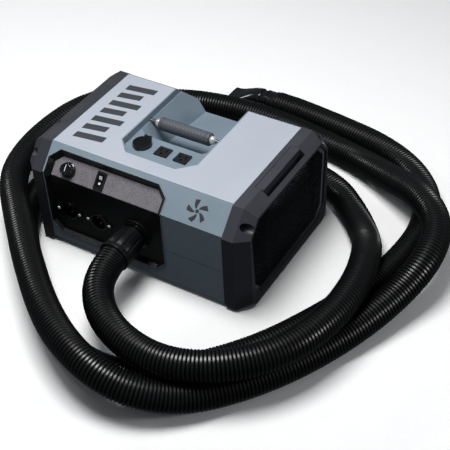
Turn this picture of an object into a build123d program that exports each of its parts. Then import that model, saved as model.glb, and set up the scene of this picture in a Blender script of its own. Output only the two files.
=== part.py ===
from build123d import *
import math
import os

# Car dryer blower: a box-shaped housing with two flow-through blower motors, one
# behind each end grille, that feed one hose port in the middle of the front face.
# Millimetres. +X towards the intake grille end, -Y towards the control face, +Z up.
# The origin is on the floor, under the middle of the housing.

os.makedirs("parts", exist_ok=True)

# ---------------------------------------------------------------- driving dimensions
SEAM_X = 210.0          # where the end caps meet the shells
STEP_X = 234.0          # where the end caps start to taper
RIM_X = 259.0           # outer face of the end caps
HALF_WIDTH = 180.0      # side walls of the shells
CAP_HALF_WIDTH = 183.0  # side walls of the end caps
TOP_HALF = 135.0        # half width of the flat top
TOP_Z = 232.5           # top face
CREASE_Z = 185.5        # lower edge of the long top chamfers
FLOOR_Z = 14.0          # underside of the shells: the end caps stand on the floor
SPLIT_Z = 96.0          # parting line of the two shells
WALL = 3.0              # shell wall
PLATE = 2.0             # silver top plate
POSTS = [(x, y) for x in (-188.0, 188.0) for y in (-162.0, 162.0)]

# hand well and socket shelf in the top
NOTCH_HALF = 87.0
SHELF_Z = 218.0
WELL_FRONT_Y = -18.0
WELL_HALF = 84.0
WELL_CORNER = 16.0
WELL_FLOOR_Z = 168.0      # at the front of the well; it falls towards the back
WELL_FLOOR_FALL = 12.0 / 191.0
WELL_BACK_Y = 205.0
GRIP_Y, GRIP_Z = 31.0, 218.0
GRIP_HALF, GRIP_R = 60.0, 14.0
ROD_R = 4.0
NUT_R = 8.8

# control insert: octagonal, wraps over the front chamfer
INSERT_X0, INSERT_X1 = -207.0, 74.5
INSERT_TOP_S = 10.0     # down the slope from the top crease
INSERT_BOTTOM_Z = 34.5
INSERT_CORNER = 23.0
RECESS = 12.0           # depth of the sloped control plate below the chamfer
FACE_RECESS = 7.0       # depth of the lower face below the side wall
LINING = 2.5
KNOB_X, KNOB_S = -157.0, 45.5
SWITCH_X, SWITCH_S = -80.5, 44.5
INLET_X = (-160.0, -86.5)
INLET_Z = 96.0
INLET_SCREW = 26.0

# sockets on the shelf
OUTLET_X = (-1.5, 43.7)
OUTLET_Y = -50.0
ROUND_X, ROUND_Y = -53.0, -48.0

# port, hose and nozzle
PORT_X, PORT_Z = 4.0, 102.0
PORT_R = 24.0
CUFF_START_Y, CUFF_END_Y = -183.3, -245.0
HOSE_R, HOSE_BORE_R = 30.0, 26.0

# motors and plenum
MOTOR_Y, MOTOR_Z = 10.0, 88.0
FAN_R, FRAME_R = 64.0, 46.0
SHAFT_R = 4.0
BEARING_R = 11.0
RUNNING = 0.03          # radial running clearance of a shaft in its bearing
PLENUM = (-60.0, 64.0, -108.0, 92.0, 22.0, 150.0)
BULKHEAD_X = 196.0

# filter cassettes
CASSETTE_HALF = 73.0
CASSETTE_X0, CASSETTE_X1 = 237.0, 249.0
CASSETTE_Z0, CASSETTE_Z1 = 22.0, 198.0
TAB_X0, TAB_X1 = 221.0, 240.0
TAB_HALF = 73.0
GAP = 0.5

SLOPE = Vector(0, TOP_HALF - HALF_WIDTH, CREASE_Z - TOP_Z).normalized()
NORMAL = Vector(0, SLOPE.Z, -SLOPE.Y)


# ---------------------------------------------------------------------------- helpers
def block(x0, x1, y0, y1, z0, z1):
    """A box between two opposite corners."""
    return Pos((x0 + x1) / 2, (y0 + y1) / 2, (z0 + z1) / 2) * Box(
        abs(x1 - x0), abs(y1 - y0), abs(z1 - z0))


def rod(start, direction, radius, length):
    """A cylinder from start along direction."""
    plane = Plane(origin=start, z_dir=direction)
    return plane * Cylinder(radius, length, align=(Align.CENTER, Align.CENTER, Align.MIN))


def ring(start, direction, outer, inner, length):
    """A tube from start along direction."""
    return rod(start, direction, outer, length) - rod(start, direction, inner, length)


def cone(start, direction, radius0, radius1, length):
    """A truncated cone from start along direction."""
    plane = Plane(origin=start, z_dir=direction)
    return plane * Cone(radius0, radius1, length, align=(Align.CENTER, Align.CENTER, Align.MIN))


def polygon(points):
    """A closed wire through points in space."""
    return Wire.make_polygon([Vector(*p) for p in points], close=True)


def prism(points, direction):
    """A flat outline in space, swept along direction."""
    return Solid.extrude(Face(polygon(points)), Vector(*direction))


def ruled(points0, points1):
    """A solid with flat sides between two outlines that have the same number of corners."""
    return Solid.make_loft([polygon(points0), polygon(points1)], ruled=True)


def at_x(outline, x):
    """An outline of (y, z) corners, placed at x."""
    return [(x, y, z) for y, z in outline]


def section(outline, x0, x1):
    """A prism along X of an outline of (y, z) corners."""
    return prism(at_x(outline, x0), (x1 - x0, 0, 0))


def inset(outline, distance):
    """A convex outline of 2-D corners, with every side moved in by distance."""
    area = sum(a[0] * b[1] - b[0] * a[1] for a, b in zip(outline, outline[1:] + outline[:1]))
    side = 1 if area > 0 else -1
    count = len(outline)
    lines = []
    for i in range(count):
        (x0, y0), (x1, y1) = outline[i], outline[(i + 1) % count]
        length = math.hypot(x1 - x0, y1 - y0)
        nx, ny = -side * (y1 - y0) / length, side * (x1 - x0) / length
        lines.append((nx, ny, nx * x0 + ny * y0 + distance))
    moved = []
    for i in range(count):
        a0, b0, c0 = lines[i - 1]
        a1, b1, c1 = lines[i]
        det = a0 * b1 - a1 * b0
        moved.append(((c0 * b1 - c1 * b0) / det, (a0 * c1 - a1 * c0) / det))
    return moved


def on_slope(x, s, depth=0.0):
    """A point on the front chamfer: s down the slope, depth below its surface."""
    p = Vector(x, -TOP_HALF, TOP_Z) + SLOPE * s - NORMAL * depth
    return (p.X, p.Y, p.Z)


def slope_outline(outline, depth):
    """An outline of (x, s) corners, placed at a depth below the front chamfer."""
    return [on_slope(x, s, depth) for x, s in outline]


def mirrored(shape):
    """The same piece at the other end of the housing."""
    return mirror(shape, about=Plane.YZ)


def save(name, *shapes):
    """Write one node; several shapes stay separate solids of one node."""
    solids = [s for shape in shapes for s in shape.solids()]
    shape = solids[0] if len(solids) == 1 else Compound(children=solids)
    export_step(shape, f"parts/{name}.step")
    return shape


# ------------------------------------------------------------------ common outlines
BODY = [(-HALF_WIDTH, FLOOR_Z), (HALF_WIDTH, FLOOR_Z), (HALF_WIDTH, CREASE_Z),
        (TOP_HALF, TOP_Z), (-TOP_HALF, TOP_Z), (-HALF_WIDTH, CREASE_Z)]
NOTCH = [(-NOTCH_HALF, 200.0), (-NOTCH_HALF, -65.0), (-57.0, -95.0),
         (57.0, -95.0), (NOTCH_HALF, -65.0), (NOTCH_HALF, 200.0)]
INSERT_SLOPE = [
    (INSERT_X0, 80.0), (INSERT_X0, INSERT_TOP_S + INSERT_CORNER - 1),
    (INSERT_X0 + INSERT_CORNER, INSERT_TOP_S), (INSERT_X1 - INSERT_CORNER, INSERT_TOP_S),
    (INSERT_X1, INSERT_TOP_S + INSERT_CORNER - 1), (INSERT_X1, 80.0)]
INSERT_FACE = [
    (INSERT_X0, 200.0), (INSERT_X0, INSERT_BOTTOM_Z + INSERT_CORNER - 1),
    (INSERT_X0 + INSERT_CORNER, INSERT_BOTTOM_Z), (INSERT_X1 - INSERT_CORNER, INSERT_BOTTOM_Z),
    (INSERT_X1, INSERT_BOTTOM_Z + INSERT_CORNER - 1), (INSERT_X1, 200.0)]


def notch_cutter(grow, top):
    """The space of the socket shelf and hand well, grown outwards for the tray's wall."""
    shelf = [(x, y, SHELF_Z - grow) for x, y in inset(NOTCH, -grow)]
    mouth, deep = SHELF_Z + 0.01, SHELF_Z - 80.0
    half, front = WELL_HALF + grow, WELL_FRONT_Y - grow
    floor_y = WELL_FRONT_Y + 0.64 * (SHELF_Z - WELL_FLOOR_Z)
    back_z = WELL_FLOOR_Z - WELL_FLOOR_FALL * (WELL_BACK_Y - floor_y)
    sides = prism([(-half, -60, mouth), (half, -60, mouth), (half - 0.607 * 80, -60, deep),
                   (-half + 0.607 * 80, -60, deep)], (0, WELL_BACK_Y + 60, 0))
    length = prism([(-120, front, mouth), (-120, WELL_BACK_Y, mouth),
                    (-120, WELL_BACK_Y, back_z - grow), (-120, floor_y - grow, WELL_FLOOR_Z - grow)],
                   (240, 0, 0))
    well = sides & length
    for side in (-1, 1):
        across = Vector(side, -1, 0).normalized()
        near = (WELL_HALF - WELL_CORNER - WELL_FRONT_Y) / math.sqrt(2) + grow
        lean = 1.248 / math.sqrt(2)
        corner = [across * near, across * -320, across * -320, across * (near - lean * 80)]
        heights = (mouth, mouth, deep, deep)
        outline = [(p.X - side * 300, p.Y - 300, z) for p, z in zip(corner, heights)]
        well = well & prism(outline, (side * 600, 600, 0))
    return prism(shelf, (0, 0, top - SHELF_Z + grow)) + well


def face_outline(outline, y):
    """An outline of (x, z) corners, placed at y."""
    return [(x, y, z) for x, z in outline]


def insert_block():
    """The whole volume of the control insert, with a lip 1 mm proud of the shells."""
    lip = 1.0
    slope = prism(slope_outline(INSERT_SLOPE, -lip), tuple(NORMAL * -(RECESS + LINING + lip)))
    face_y = -HALF_WIDTH + FACE_RECESS + LINING
    face = prism(face_outline(INSERT_FACE, -HALF_WIDTH - lip), (0, face_y + HALF_WIDTH + lip, 0))
    envelope = section(inset(BODY, -lip), -SEAM_X, SEAM_X)
    return (slope + face) & envelope


def insert_recess():
    """The hollow of the control insert: sloped walls all round, an upright lower face."""
    outer = inset(INSERT_SLOPE, LINING)
    outer[0], outer[-1] = (outer[0][0], 82.0), (outer[-1][0], 82.0)
    inner = inset(INSERT_SLOPE, RECESS)
    inner[0], inner[-1] = (inner[0][0], 80.0), (inner[-1][0], 80.0)
    slope = ruled(slope_outline(outer, -3.0), slope_outline(inner, RECESS))
    wide = inset(INSERT_FACE, LINING)
    narrow = inset(INSERT_FACE, LINING + 3.0)
    top = 176.0
    for edge in (wide, narrow):
        edge[0], edge[-1] = (edge[0][0], top), (edge[-1][0], top)
    face = ruled(face_outline(wide, -HALF_WIDTH - 3), face_outline(narrow, -HALF_WIDTH + FACE_RECESS))
    return slope + face


# --------------------------------------------------------------------------- housing
def make_housing():
    """Two shells, the silver plate on top, and the blue-grey tray in its notch."""
    body = section(BODY, -SEAM_X, SEAM_X)
    hollow = section(inset(BODY, WALL), -SEAM_X - 1, SEAM_X + 1)
    tray_block = notch_cutter(WALL, 240.0)
    insert = insert_block()
    below = block(-300, 300, -300, 300, -10, SPLIT_Z)
    above = block(-300, 300, -300, 300, SPLIT_Z, 300)
    plate = block(-SEAM_X, SEAM_X, -TOP_HALF + 1.5, TOP_HALF - 1.5, TOP_Z - PLATE, TOP_Z)
    shell = body - hollow - tray_block - insert
    lower = shell & below
    for x, y in POSTS:
        lower = lower + rod((x, y, FLOOR_Z + WALL), (0, 0, 1), 5, SPLIT_Z - FLOOR_Z - WALL)
        lower = lower - rod((x, y, FLOOR_Z - 1), (0, 0, 1), 2.05, 100)
    save("lower_shell", lower)
    save("upper_shell", (shell & above) - plate)
    save("top_plate", plate - tray_block)
    tray = (tray_block - notch_cutter(0.0, 250.0)) & body
    for x in OUTLET_X:
        tray = tray - block(x - 11.2, x + 11.2, OUTLET_Y - 10.2, OUTLET_Y + 10.2, 205, 225)
    tray = tray - rod((ROUND_X, ROUND_Y, 205), (0, 0, 1), 15.2, 20)
    tray = tray - rod((-100, GRIP_Y, GRIP_Z), (1, 0, 0), ROD_R, 200)
    save("handle_tray", tray)
    save("shell_screws", *[rod((x, y, FLOOR_Z), (0, 0, 1), 2.0, 60) for x, y in POSTS])


def make_handle():
    """Steel rod through a rubber sleeve, with a domed nut at each end of the sleeve."""
    save("handle_rod", rod((-NOTCH_HALF - WALL, GRIP_Y, GRIP_Z), (1, 0, 0), ROD_R,
                           2 * (NOTCH_HALF + WALL)))
    save("handle_grip", ring((-GRIP_HALF, GRIP_Y, GRIP_Z), (1, 0, 0), GRIP_R, ROD_R, 2 * GRIP_HALF))
    nuts = []
    for side in (-1, 1):
        nut = ring((side * GRIP_HALF, GRIP_Y, GRIP_Z), (side, 0, 0), NUT_R, ROD_R, 4)
        dome = Pos(side * (GRIP_HALF + 4), GRIP_Y, GRIP_Z) * Sphere(NUT_R)
        half = block(side * (GRIP_HALF + 4), side * (GRIP_HALF + 20), GRIP_Y - 12, GRIP_Y + 12,
                     GRIP_Z - 12, GRIP_Z + 12)
        dome = (dome & half) - rod((-100, GRIP_Y, GRIP_Z), (1, 0, 0), ROD_R, 200)
        nuts.append(nut + dome)
    save("handle_nuts", *nuts)


# -------------------------------------------------------------------------- end caps
CAP = [(-CAP_HALF_WIDTH + 6, 1.5), (CAP_HALF_WIDTH - 6, 1.5), (CAP_HALF_WIDTH, 7.5),
       (CAP_HALF_WIDTH, CREASE_Z - 1.5), (TOP_HALF + 1.5, TOP_Z), (-TOP_HALF - 1.5, TOP_Z),
       (-CAP_HALF_WIDTH, CREASE_Z - 1.5), (-CAP_HALF_WIDTH, 7.5)]
RIM = [(-141.0, 1.5), (141.0, 1.5), (157.0, 15.0), (159.0, 180.0), (129.0, 214.0),
       (-129.0, 214.0), (-159.0, 180.0), (-157.0, 15.0)]
MESH = [(-122.0, 18.0), (122.0, 18.0), (145.0, 44.0), (153.0, 178.0), (126.0, 208.5),
        (-126.0, 208.5), (-153.0, 178.0), (-145.0, 44.0)]
POCKET_Y, POCKET_Z, POCKET_R = 151.5, 200.5, 9.5
GRILLE_X0, GRILLE_X1 = 251.0, 254.0
PAD_Y = 120.0


def make_cap():
    """One end cap: a foot at the bottom, a tapered rim, guides for the filter cassette."""
    outer = section(CAP, SEAM_X, STEP_X) + ruled(at_x(CAP, STEP_X), at_x(RIM, RIM_X))
    outer = outer - prism([(SEAM_X, -200, FLOOR_Z), (SEAM_X, -200, 0), (SEAM_X + 15, -200, 0)],
                          (0, 400, 0))
    inner = section(inset(CAP, 4.0), SEAM_X - 1, STEP_X)
    inner = inner + ruled(at_x(inset(CAP, 4.0), STEP_X), at_x(inset(RIM, 4.0), GRILLE_X0 - 1))
    opening = section(MESH, GRILLE_X0 - 2, RIM_X + 1)
    cap = outer - inner - opening
    cap = cap + (section(inset(CAP, 3.0), 226, 229) - block(220, 235, -66, 66, 34, 186))
    for side in (-1, 1):
        y0, y1 = side * (CASSETTE_HALF + 0.6), side * (CASSETTE_HALF + 5)
        cap = cap + block(228, 250, min(y0, y1), max(y0, y1), 16, 206)
        axis = (0, side * POCKET_Y, POCKET_Z)
        boss = rod((SEAM_X, axis[1], axis[2]), (1, 0, 0), POCKET_R + 3, 50)
        cap = cap + (boss & outer)
        cap = cap - rod((222, axis[1], axis[2]), (1, 0, 0), POCKET_R, 50)
        cap = cap - rod((SEAM_X - 1, axis[1], axis[2]), (1, 0, 0), 3.2, 30)
    cap = cap + (block(217, 236.5, -TAB_HALF - 4, TAB_HALF + 4, 218, 229.0) & outer)
    slot = block(CASSETTE_X0 - GAP, CASSETTE_X1 + 1.5, -TAB_HALF - 0.6, TAB_HALF + 0.6, 190, 240)
    pocket = block(TAB_X0 - GAP, CASSETTE_X1, -TAB_HALF - 0.6, TAB_HALF + 0.6, 229.0, 240)
    cap = cap - slot - pocket
    for y in (-PAD_Y, PAD_Y):
        cap = cap - block(228, 250, y - 16, y + 16, 0, 3.0)
    return cap


def make_grille():
    """The recessed mesh panel of an end cap, with a grid of diamond openings."""
    panel = section(MESH, GRILLE_X0, GRILLE_X1)
    holes = []
    pitch, half = 20.0, 7.0
    for column in range(-6, 7):
        for row in range(0, 9):
            y = column * pitch
            z = 42.0 + row * 18.0
            if abs(y) > 100 + 0.1 * (z - 42.0) or (z > 175 and abs(y) > 100):
                continue
            holes.append(prism([(GRILLE_X0 - 1, y - half, z), (GRILLE_X0 - 1, y, z - half),
                                (GRILLE_X0 - 1, y + half, z), (GRILLE_X0 - 1, y, z + half)],
                               (5, 0, 0)))
    return panel - Compound(children=holes)


def make_cassette():
    """A filter frame that lifts out through the cap's slot, with a flat pull tab."""
    frame = block(CASSETTE_X0, CASSETTE_X1, -CASSETTE_HALF, CASSETTE_HALF, CASSETTE_Z0, CASSETTE_Z1)
    window = block(CASSETTE_X0 - 1, CASSETTE_X1 + 1, -CASSETTE_HALF + 8, CASSETTE_HALF - 8,
                   CASSETTE_Z0 + 8, CASSETTE_Z1 - 8)
    web = block(CASSETTE_X0, TAB_X1, -TAB_HALF, TAB_HALF, CASSETTE_Z1 - 1, 230.5)
    tab = block(TAB_X0, TAB_X1, -TAB_HALF, TAB_HALF, 229.2, 232.2)
    foam = block(CASSETTE_X0 + 1, CASSETTE_X1 - 1, -CASSETTE_HALF + 8, CASSETTE_HALF - 8,
                 CASSETTE_Z0 + 8, CASSETTE_Z1 - 8)
    return frame - window + web + tab, foam


def make_ends():
    """Both end caps with their grilles, cassettes, bolts and rubber pads."""
    cap, grille = make_cap(), make_grille()
    frame, foam = make_cassette()
    save("intake_end_cap", cap)
    save("rear_end_cap", mirrored(cap))
    save("intake_grille", grille)
    save("rear_grille", mirrored(grille))
    save("intake_filter_cassette", frame)
    save("rear_filter_cassette", mirrored(frame))
    save("intake_filter_foam", foam)
    save("rear_filter_foam", mirrored(foam))
    bolts, pads = [], []
    for end in (-1, 1):
        for side in (-1, 1):
            head = rod((end * 222, side * POCKET_Y, POCKET_Z), (end, 0, 0), 6.0, 5)
            head = head - rod((end * 224.5, side * POCKET_Y, POCKET_Z), (end, 0, 0), 2.5, 5)
            bolts.append(head + rod((end * 209, side * POCKET_Y, POCKET_Z), (end, 0, 0), 3.0, 13))
            x0, x1 = sorted((end * 228.2, end * 249.8))
            pads.append(block(x0, x1, side * PAD_Y - 15.8, side * PAD_Y + 15.8, 0, 3.0))
    save("end_cap_bolts", *bolts)
    save("rubber_pads", *pads)


# ------------------------------------------------------------------------ control side
def slope_box(x, s, half_x, half_s, depth0, depth1):
    """A box on the front chamfer between two depths."""
    outline = [(x - half_x, s - half_s), (x + half_x, s - half_s),
               (x + half_x, s + half_s), (x - half_x, s + half_s)]
    return prism(slope_outline(outline, depth0), tuple(NORMAL * -(depth1 - depth0)))


def slope_rod(x, s, radius, depth0, depth1):
    """A cylinder square to the front chamfer between two depths."""
    return rod(on_slope(x, s, depth0), tuple(-NORMAL), radius, depth1 - depth0)


def make_controls():
    """Black insert, brushed plate, speed knob with its potentiometer, rocker switch."""
    bezel = insert_block() - insert_recess()
    bezel = bezel - slope_rod(KNOB_X, KNOB_S, 5.0, 5, 20)
    bezel = bezel - slope_box(SWITCH_X, SWITCH_S, 9.5, 15.5, 5, 20)
    for x in INLET_X:
        bezel = bezel - rod((x, -190, INLET_Z), (0, 1, 0), 19.2, 30)
    bezel = bezel - rod((PORT_X, -190, PORT_Z), (0, 1, 0), PORT_R + 0.2, 40)
    save("control_bezel", bezel)

    outline = inset(INSERT_SLOPE, RECESS + 0.4)
    outline[0], outline[-1] = (outline[0][0], 65.5), (outline[-1][0], 65.5)
    plate = prism(slope_outline(outline, RECESS - 1.5), tuple(NORMAL * -1.5))
    plate = plate - slope_rod(KNOB_X, KNOB_S, 5.0, 5, 20)
    plate = plate - slope_box(SWITCH_X, SWITCH_S, 9.5, 15.5, 5, 20)
    save("control_plate", plate)

    top = RECESS - 1.5
    body = slope_rod(KNOB_X, KNOB_S, 4.8, top - 1.0, RECESS + LINING)
    body = body + slope_rod(KNOB_X, KNOB_S, 12.0, RECESS + LINING, RECESS + LINING + 14)
    body = body - slope_rod(KNOB_X, KNOB_S, 3.0 + RUNNING, top - 3, RECESS + LINING + 10)
    save("speed_potentiometer", body)
    knob = slope_rod(KNOB_X, KNOB_S, 16.0, top - 5.0, top - 1.5)
    knob = knob + slope_rod(KNOB_X, KNOB_S, 13.5, top - 17.0, top - 4.9)
    for i in range(12):
        angle = math.radians(30 * i)
        knob = knob - slope_rod(KNOB_X + 15.2 * math.cos(angle), KNOB_S + 15.2 * math.sin(angle),
                                2.6, top - 18.0, top - 5.0)
    knob = knob - slope_box(KNOB_X, KNOB_S + 8, 1.0, 6.5, top - 18, top - 15.8)
    knob = knob + slope_rod(KNOB_X, KNOB_S, 3.0, top - 2, RECESS + LINING + 9)
    save("speed_knob", knob)

    housing = slope_box(SWITCH_X, SWITCH_S, 11.0, 18.5, top - 3.0, top)
    housing = housing + slope_box(SWITCH_X, SWITCH_S, 9.3, 15.3, top, RECESS + LINING + 14)
    housing = housing - slope_box(SWITCH_X, SWITCH_S, 7.3, 13.3, top - 4, RECESS + LINING + 6)
    save("switch_housing", housing)
    key = Polyline((0, -12.4), (0, 12.4), (5.2, 12.0), (3.4, 0.0), (8.4, -11.2), close=True)
    profile = Plane(origin=on_slope(SWITCH_X - 6.8, SWITCH_S, top + 3.0), x_dir=tuple(NORMAL),
                    z_dir=(1, 0, 0))
    rocker = Solid.extrude(Face(Wire(profile * key)), Vector(13.6, 0, 0))
    save("switch_rocker", rocker)


def make_inlets():
    """Two flanged power inlets with recessed brass pins, each held by two screws."""
    face_y = -HALF_WIDTH + FACE_RECESS
    pins, screws = [], []
    for number, x in enumerate(INLET_X, 1):
        flange = rod((x, face_y - 3.0, INLET_Z), (0, 1, 0), 21.0, 3.0)
        ears = prism([(x - 31, face_y - 3.0, INLET_Z - 6), (x + 31, face_y - 3.0, INLET_Z - 6),
                      (x + 31, face_y - 3.0, INLET_Z + 6), (x - 31, face_y - 3.0, INLET_Z + 6)],
                     (0, 3.0, 0))
        body = flange + ears + rod((x, face_y, INLET_Z), (0, 1, 0), 19.0, 26)
        body = body - rod((x, face_y - 4, INLET_Z), (0, 1, 0), 16.5, 22)
        base_y = face_y + 18
        spots = [(x - 7, INLET_Z + 4, 1.6), (x + 7, INLET_Z + 4, 1.6), (x, INLET_Z - 7, 2.2)]
        for px, pz, radius in spots:
            body = body - rod((px, base_y - 1, pz), (0, 1, 0), radius, 12)
            pins.append(rod((px, base_y - 14, pz), (0, 1, 0), radius, 22))
        for side in (-1, 1):
            sx = x + side * INLET_SCREW
            body = body - rod((sx, face_y - 4, INLET_Z), (0, 1, 0), 1.8, 5)
            screw = rod((sx, face_y - 4.6, INLET_Z), (0, 1, 0), 3.6, 1.6)
            screws.append(screw + rod((sx, face_y - 3.1, INLET_Z), (0, 1, 0), 1.75, 3.05))
        save(f"power_inlet_{number}", body)
    save("inlet_pins", *pins)
    save("inlet_screws", *screws)


def make_sockets():
    """Two accessory outlets, and a round socket under a hinged flip cap."""
    for number, x in enumerate(OUTLET_X, 1):
        body = block(x - 14.5, x + 14.5, OUTLET_Y - 13.5, OUTLET_Y + 13.5, SHELF_Z, SHELF_Z + 3.5)
        body = body + block(x - 11, x + 11, OUTLET_Y - 10, OUTLET_Y + 10, SHELF_Z - 18, SHELF_Z)
        for side in (-1, 1):
            body = body - block(x + side * 6.35 - 1.1, x + side * 6.35 + 1.1, OUTLET_Y - 1.0,
                                OUTLET_Y + 7.5, SHELF_Z - 10, SHELF_Z + 4)
        body = body - rod((x, OUTLET_Y - 6.5, SHELF_Z - 10), (0, 0, 1), 2.6, 15)
        save(f"outlet_{number}", body)
    base = rod((ROUND_X, ROUND_Y, SHELF_Z), (0, 0, 1), 20.0, 4.0)
    base = base + rod((ROUND_X, ROUND_Y, SHELF_Z - 22), (0, 0, 1), 15.0, 22)
    base = base - rod((ROUND_X, ROUND_Y, SHELF_Z - 18), (0, 0, 1), 10.5, 30)
    hinge_y = ROUND_Y + 21.5
    hinge_z = SHELF_Z + 6.6
    for side in (-1, 1):
        x0, x1 = sorted((ROUND_X + side * 4.2, ROUND_X + side * 7.5))
        lug = block(x0, x1, ROUND_Y + 17.0, hinge_y + 2.6, SHELF_Z, hinge_z + 2.2)
        base = base + lug
    base = base - rod((ROUND_X - 10, hinge_y, hinge_z), (1, 0, 0), 1.2, 20)
    save("round_socket", base)
    lid = rod((ROUND_X, ROUND_Y, SHELF_Z + 4.3), (0, 0, 1), 19.0, 3.4)
    lid = lid - block(ROUND_X - 8.2, ROUND_X + 8.2, ROUND_Y + 16.2, ROUND_Y + 30, 210, 230)
    neck = block(ROUND_X - 3.8, ROUND_X + 3.8, ROUND_Y + 12, hinge_y, hinge_z - 1.0, hinge_z + 2.2)
    knuckle = rod((ROUND_X - 3.8, hinge_y, hinge_z), (1, 0, 0), 2.4, 7.6)
    lid = lid + neck + knuckle
    lid = lid - rod((ROUND_X - 10, hinge_y, hinge_z), (1, 0, 0), 1.2 + RUNNING, 20)
    for i in range(-2, 3):
        lid = lid - block(ROUND_X + i * 5.5 - 1.0, ROUND_X + i * 5.5 + 1.0, ROUND_Y - 11,
                          ROUND_Y + 9, SHELF_Z + 6.9, SHELF_Z + 9)
    lid = lid + block(ROUND_X - 5, ROUND_X + 5, ROUND_Y - 22.0, ROUND_Y - 17, SHELF_Z + 4.6,
                      SHELF_Z + 7.4)
    save("socket_flip_cap", lid)
    save("socket_hinge_pin", rod((ROUND_X - 7.5, hinge_y, hinge_z), (1, 0, 0), 1.2, 15))


# --------------------------------------------------------------------- port and hose
def make_port():
    """Flanged spigot through the insert, its gasket, and the bayonet locking ring."""
    face_y = -HALF_WIDTH + FACE_RECESS
    centre = (PORT_X, 0, PORT_Z)
    spigot = ring((PORT_X, face_y - 10, PORT_Z), (0, 1, 0), PORT_R, PORT_R - 3, 82)
    flange = ring((PORT_X, face_y - 3.0, PORT_Z), (0, 1, 0), 34.0, PORT_R - 3, 3.0)
    port = spigot + flange
    for i in range(4):
        angle = math.radians(45 + 90 * i)
        port = port - rod((PORT_X + 29.5 * math.cos(angle), face_y - 4,
                           PORT_Z + 29.5 * math.sin(angle)), (0, 1, 0), 1.8, 5)
    save("hose_port", port)
    save("port_gasket", ring((PORT_X, face_y + LINING, PORT_Z), (0, 1, 0), 30, PORT_R + 0.05, 2.0))
    lock = ring((PORT_X, face_y - 9.5, PORT_Z), (0, 1, 0), 30.0, PORT_R + 0.06, 6.2)
    for i in range(3):
        angle = 90 + 120 * i
        lug = block(-4.5, 4.5, face_y - 9.5, face_y - 3.3, 28.5, 33.0)
        lug = Pos(*centre) * Rot(0, angle - 90, 0) * lug
        lock = lock + lug
    save("port_lock_ring", lock)


def make_hose():
    """Ribbed cuff, the long hose as runs and tangent arcs, the nozzle collar and nozzle."""
    length = CUFF_START_Y - CUFF_END_Y
    cuff = cone((PORT_X, CUFF_START_Y, PORT_Z), (0, -1, 0), 28.0, 32.6, length + 6)
    bore = rod((PORT_X, CUFF_START_Y + 1, PORT_Z), (0, -1, 0), 21.0, length + 8)
    leaving = tuple(Vector(*HOSE_ROUTE[1]) - Vector(*HOSE_ROUTE[0]))
    mouth = rod(HOSE_ROUTE[0], leaving, HOSE_R + 0.3, 20)
    cuff = cuff - bore - mouth
    for i in range(12):
        angle = math.radians(30 * i)
        rib = Plane(origin=(PORT_X + 29.2 * math.cos(angle), CUFF_START_Y - 12,
                            PORT_Z + 29.2 * math.sin(angle)), z_dir=(0, -1, 0))
        cuff = cuff - rib * Cylinder(1.6, 40, align=(Align.CENTER, Align.CENTER, Align.MIN))
    plug = ring((PORT_X, CUFF_START_Y - 4, PORT_Z), (0, 1, 0), 21.0, 18.0, 34)
    save("hose_cuff", cuff + plug)

    points = [Vector(*p) for p in HOSE_ROUTE]
    radii = []
    for before, here, after in zip(points, points[1:], points[2:]):
        turn = (here - before).get_angle(after - here)
        shorter = min((here - before).length, (after - here).length)
        radii.append(0.45 * shorter / math.tan(math.radians(turn / 2)))
    path = FilletPolyline(*points, radius=radii)
    start = Plane(origin=points[0], z_dir=(points[1] - points[0]))
    tube = sweep(start * (Circle(HOSE_R) - Circle(HOSE_BORE_R)), path=path)
    save("hose", tube)
    area = math.pi * (HOSE_R ** 2 - HOSE_BORE_R ** 2)
    print(f"hose: path {path.length:.0f} mm, volume {tube.volume:.0f}, section x length"
          f" {area * path.length:.0f}, valid {tube.is_valid}")
    print("hose radii:", " ".join(f"{r:.0f}" for r in radii))

    end = points[-1]
    along = (end - points[-2]).normalized()
    collar = rod(tuple(end - along * 32), tuple(along), HOSE_BORE_R, 32)
    collar = collar + rod(tuple(end), tuple(along), 28.5, 8)
    collar = collar + cone(tuple(end + along * 8), tuple(along), 25.0, 23.0, 40)
    for offset in (16, 26):
        collar = collar + rod(tuple(end + along * offset), tuple(along), 26.5, 5)
    collar = collar - rod(tuple(end - along * 33), tuple(along), 20.5, 90)
    save("nozzle_collar", collar)
    root = end + along * 44
    sideways = along.cross(Vector(0, 0, 1)).normalized()
    upward = Vector(0, 0, 1)

    def oval(centre, half_w, half_h):
        """An elongated octagon across the hose's axis."""
        cut = min(half_w, half_h) * 0.58
        corners = [(-half_w + cut, -half_h), (half_w - cut, -half_h), (half_w, -half_h + cut),
                   (half_w, half_h - cut), (half_w - cut, half_h), (-half_w + cut, half_h),
                   (-half_w, half_h - cut), (-half_w, -half_h + cut)]
        return [tuple(centre + sideways * a + upward * b) for a, b in corners]

    mid, tip = root + along * 26, root + along * 88
    drop = upward * -18
    waist = mid + drop * 0.25
    outer = ruled(oval(root, 26.5, 26.5), oval(waist, 24, 22)) + ruled(
        oval(waist, 24, 22), oval(tip + drop, 31, 9.5))
    bore = ruled(oval(root - along, 23.2, 23.2), oval(waist, 21, 19)) + ruled(
        oval(waist, 21, 19), oval(tip + along + drop, 28, 6.5))
    bore = bore + rod(tuple(root - along * 2), tuple(along), 23.4, 6)
    save("nozzle", outer - bore)


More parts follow.
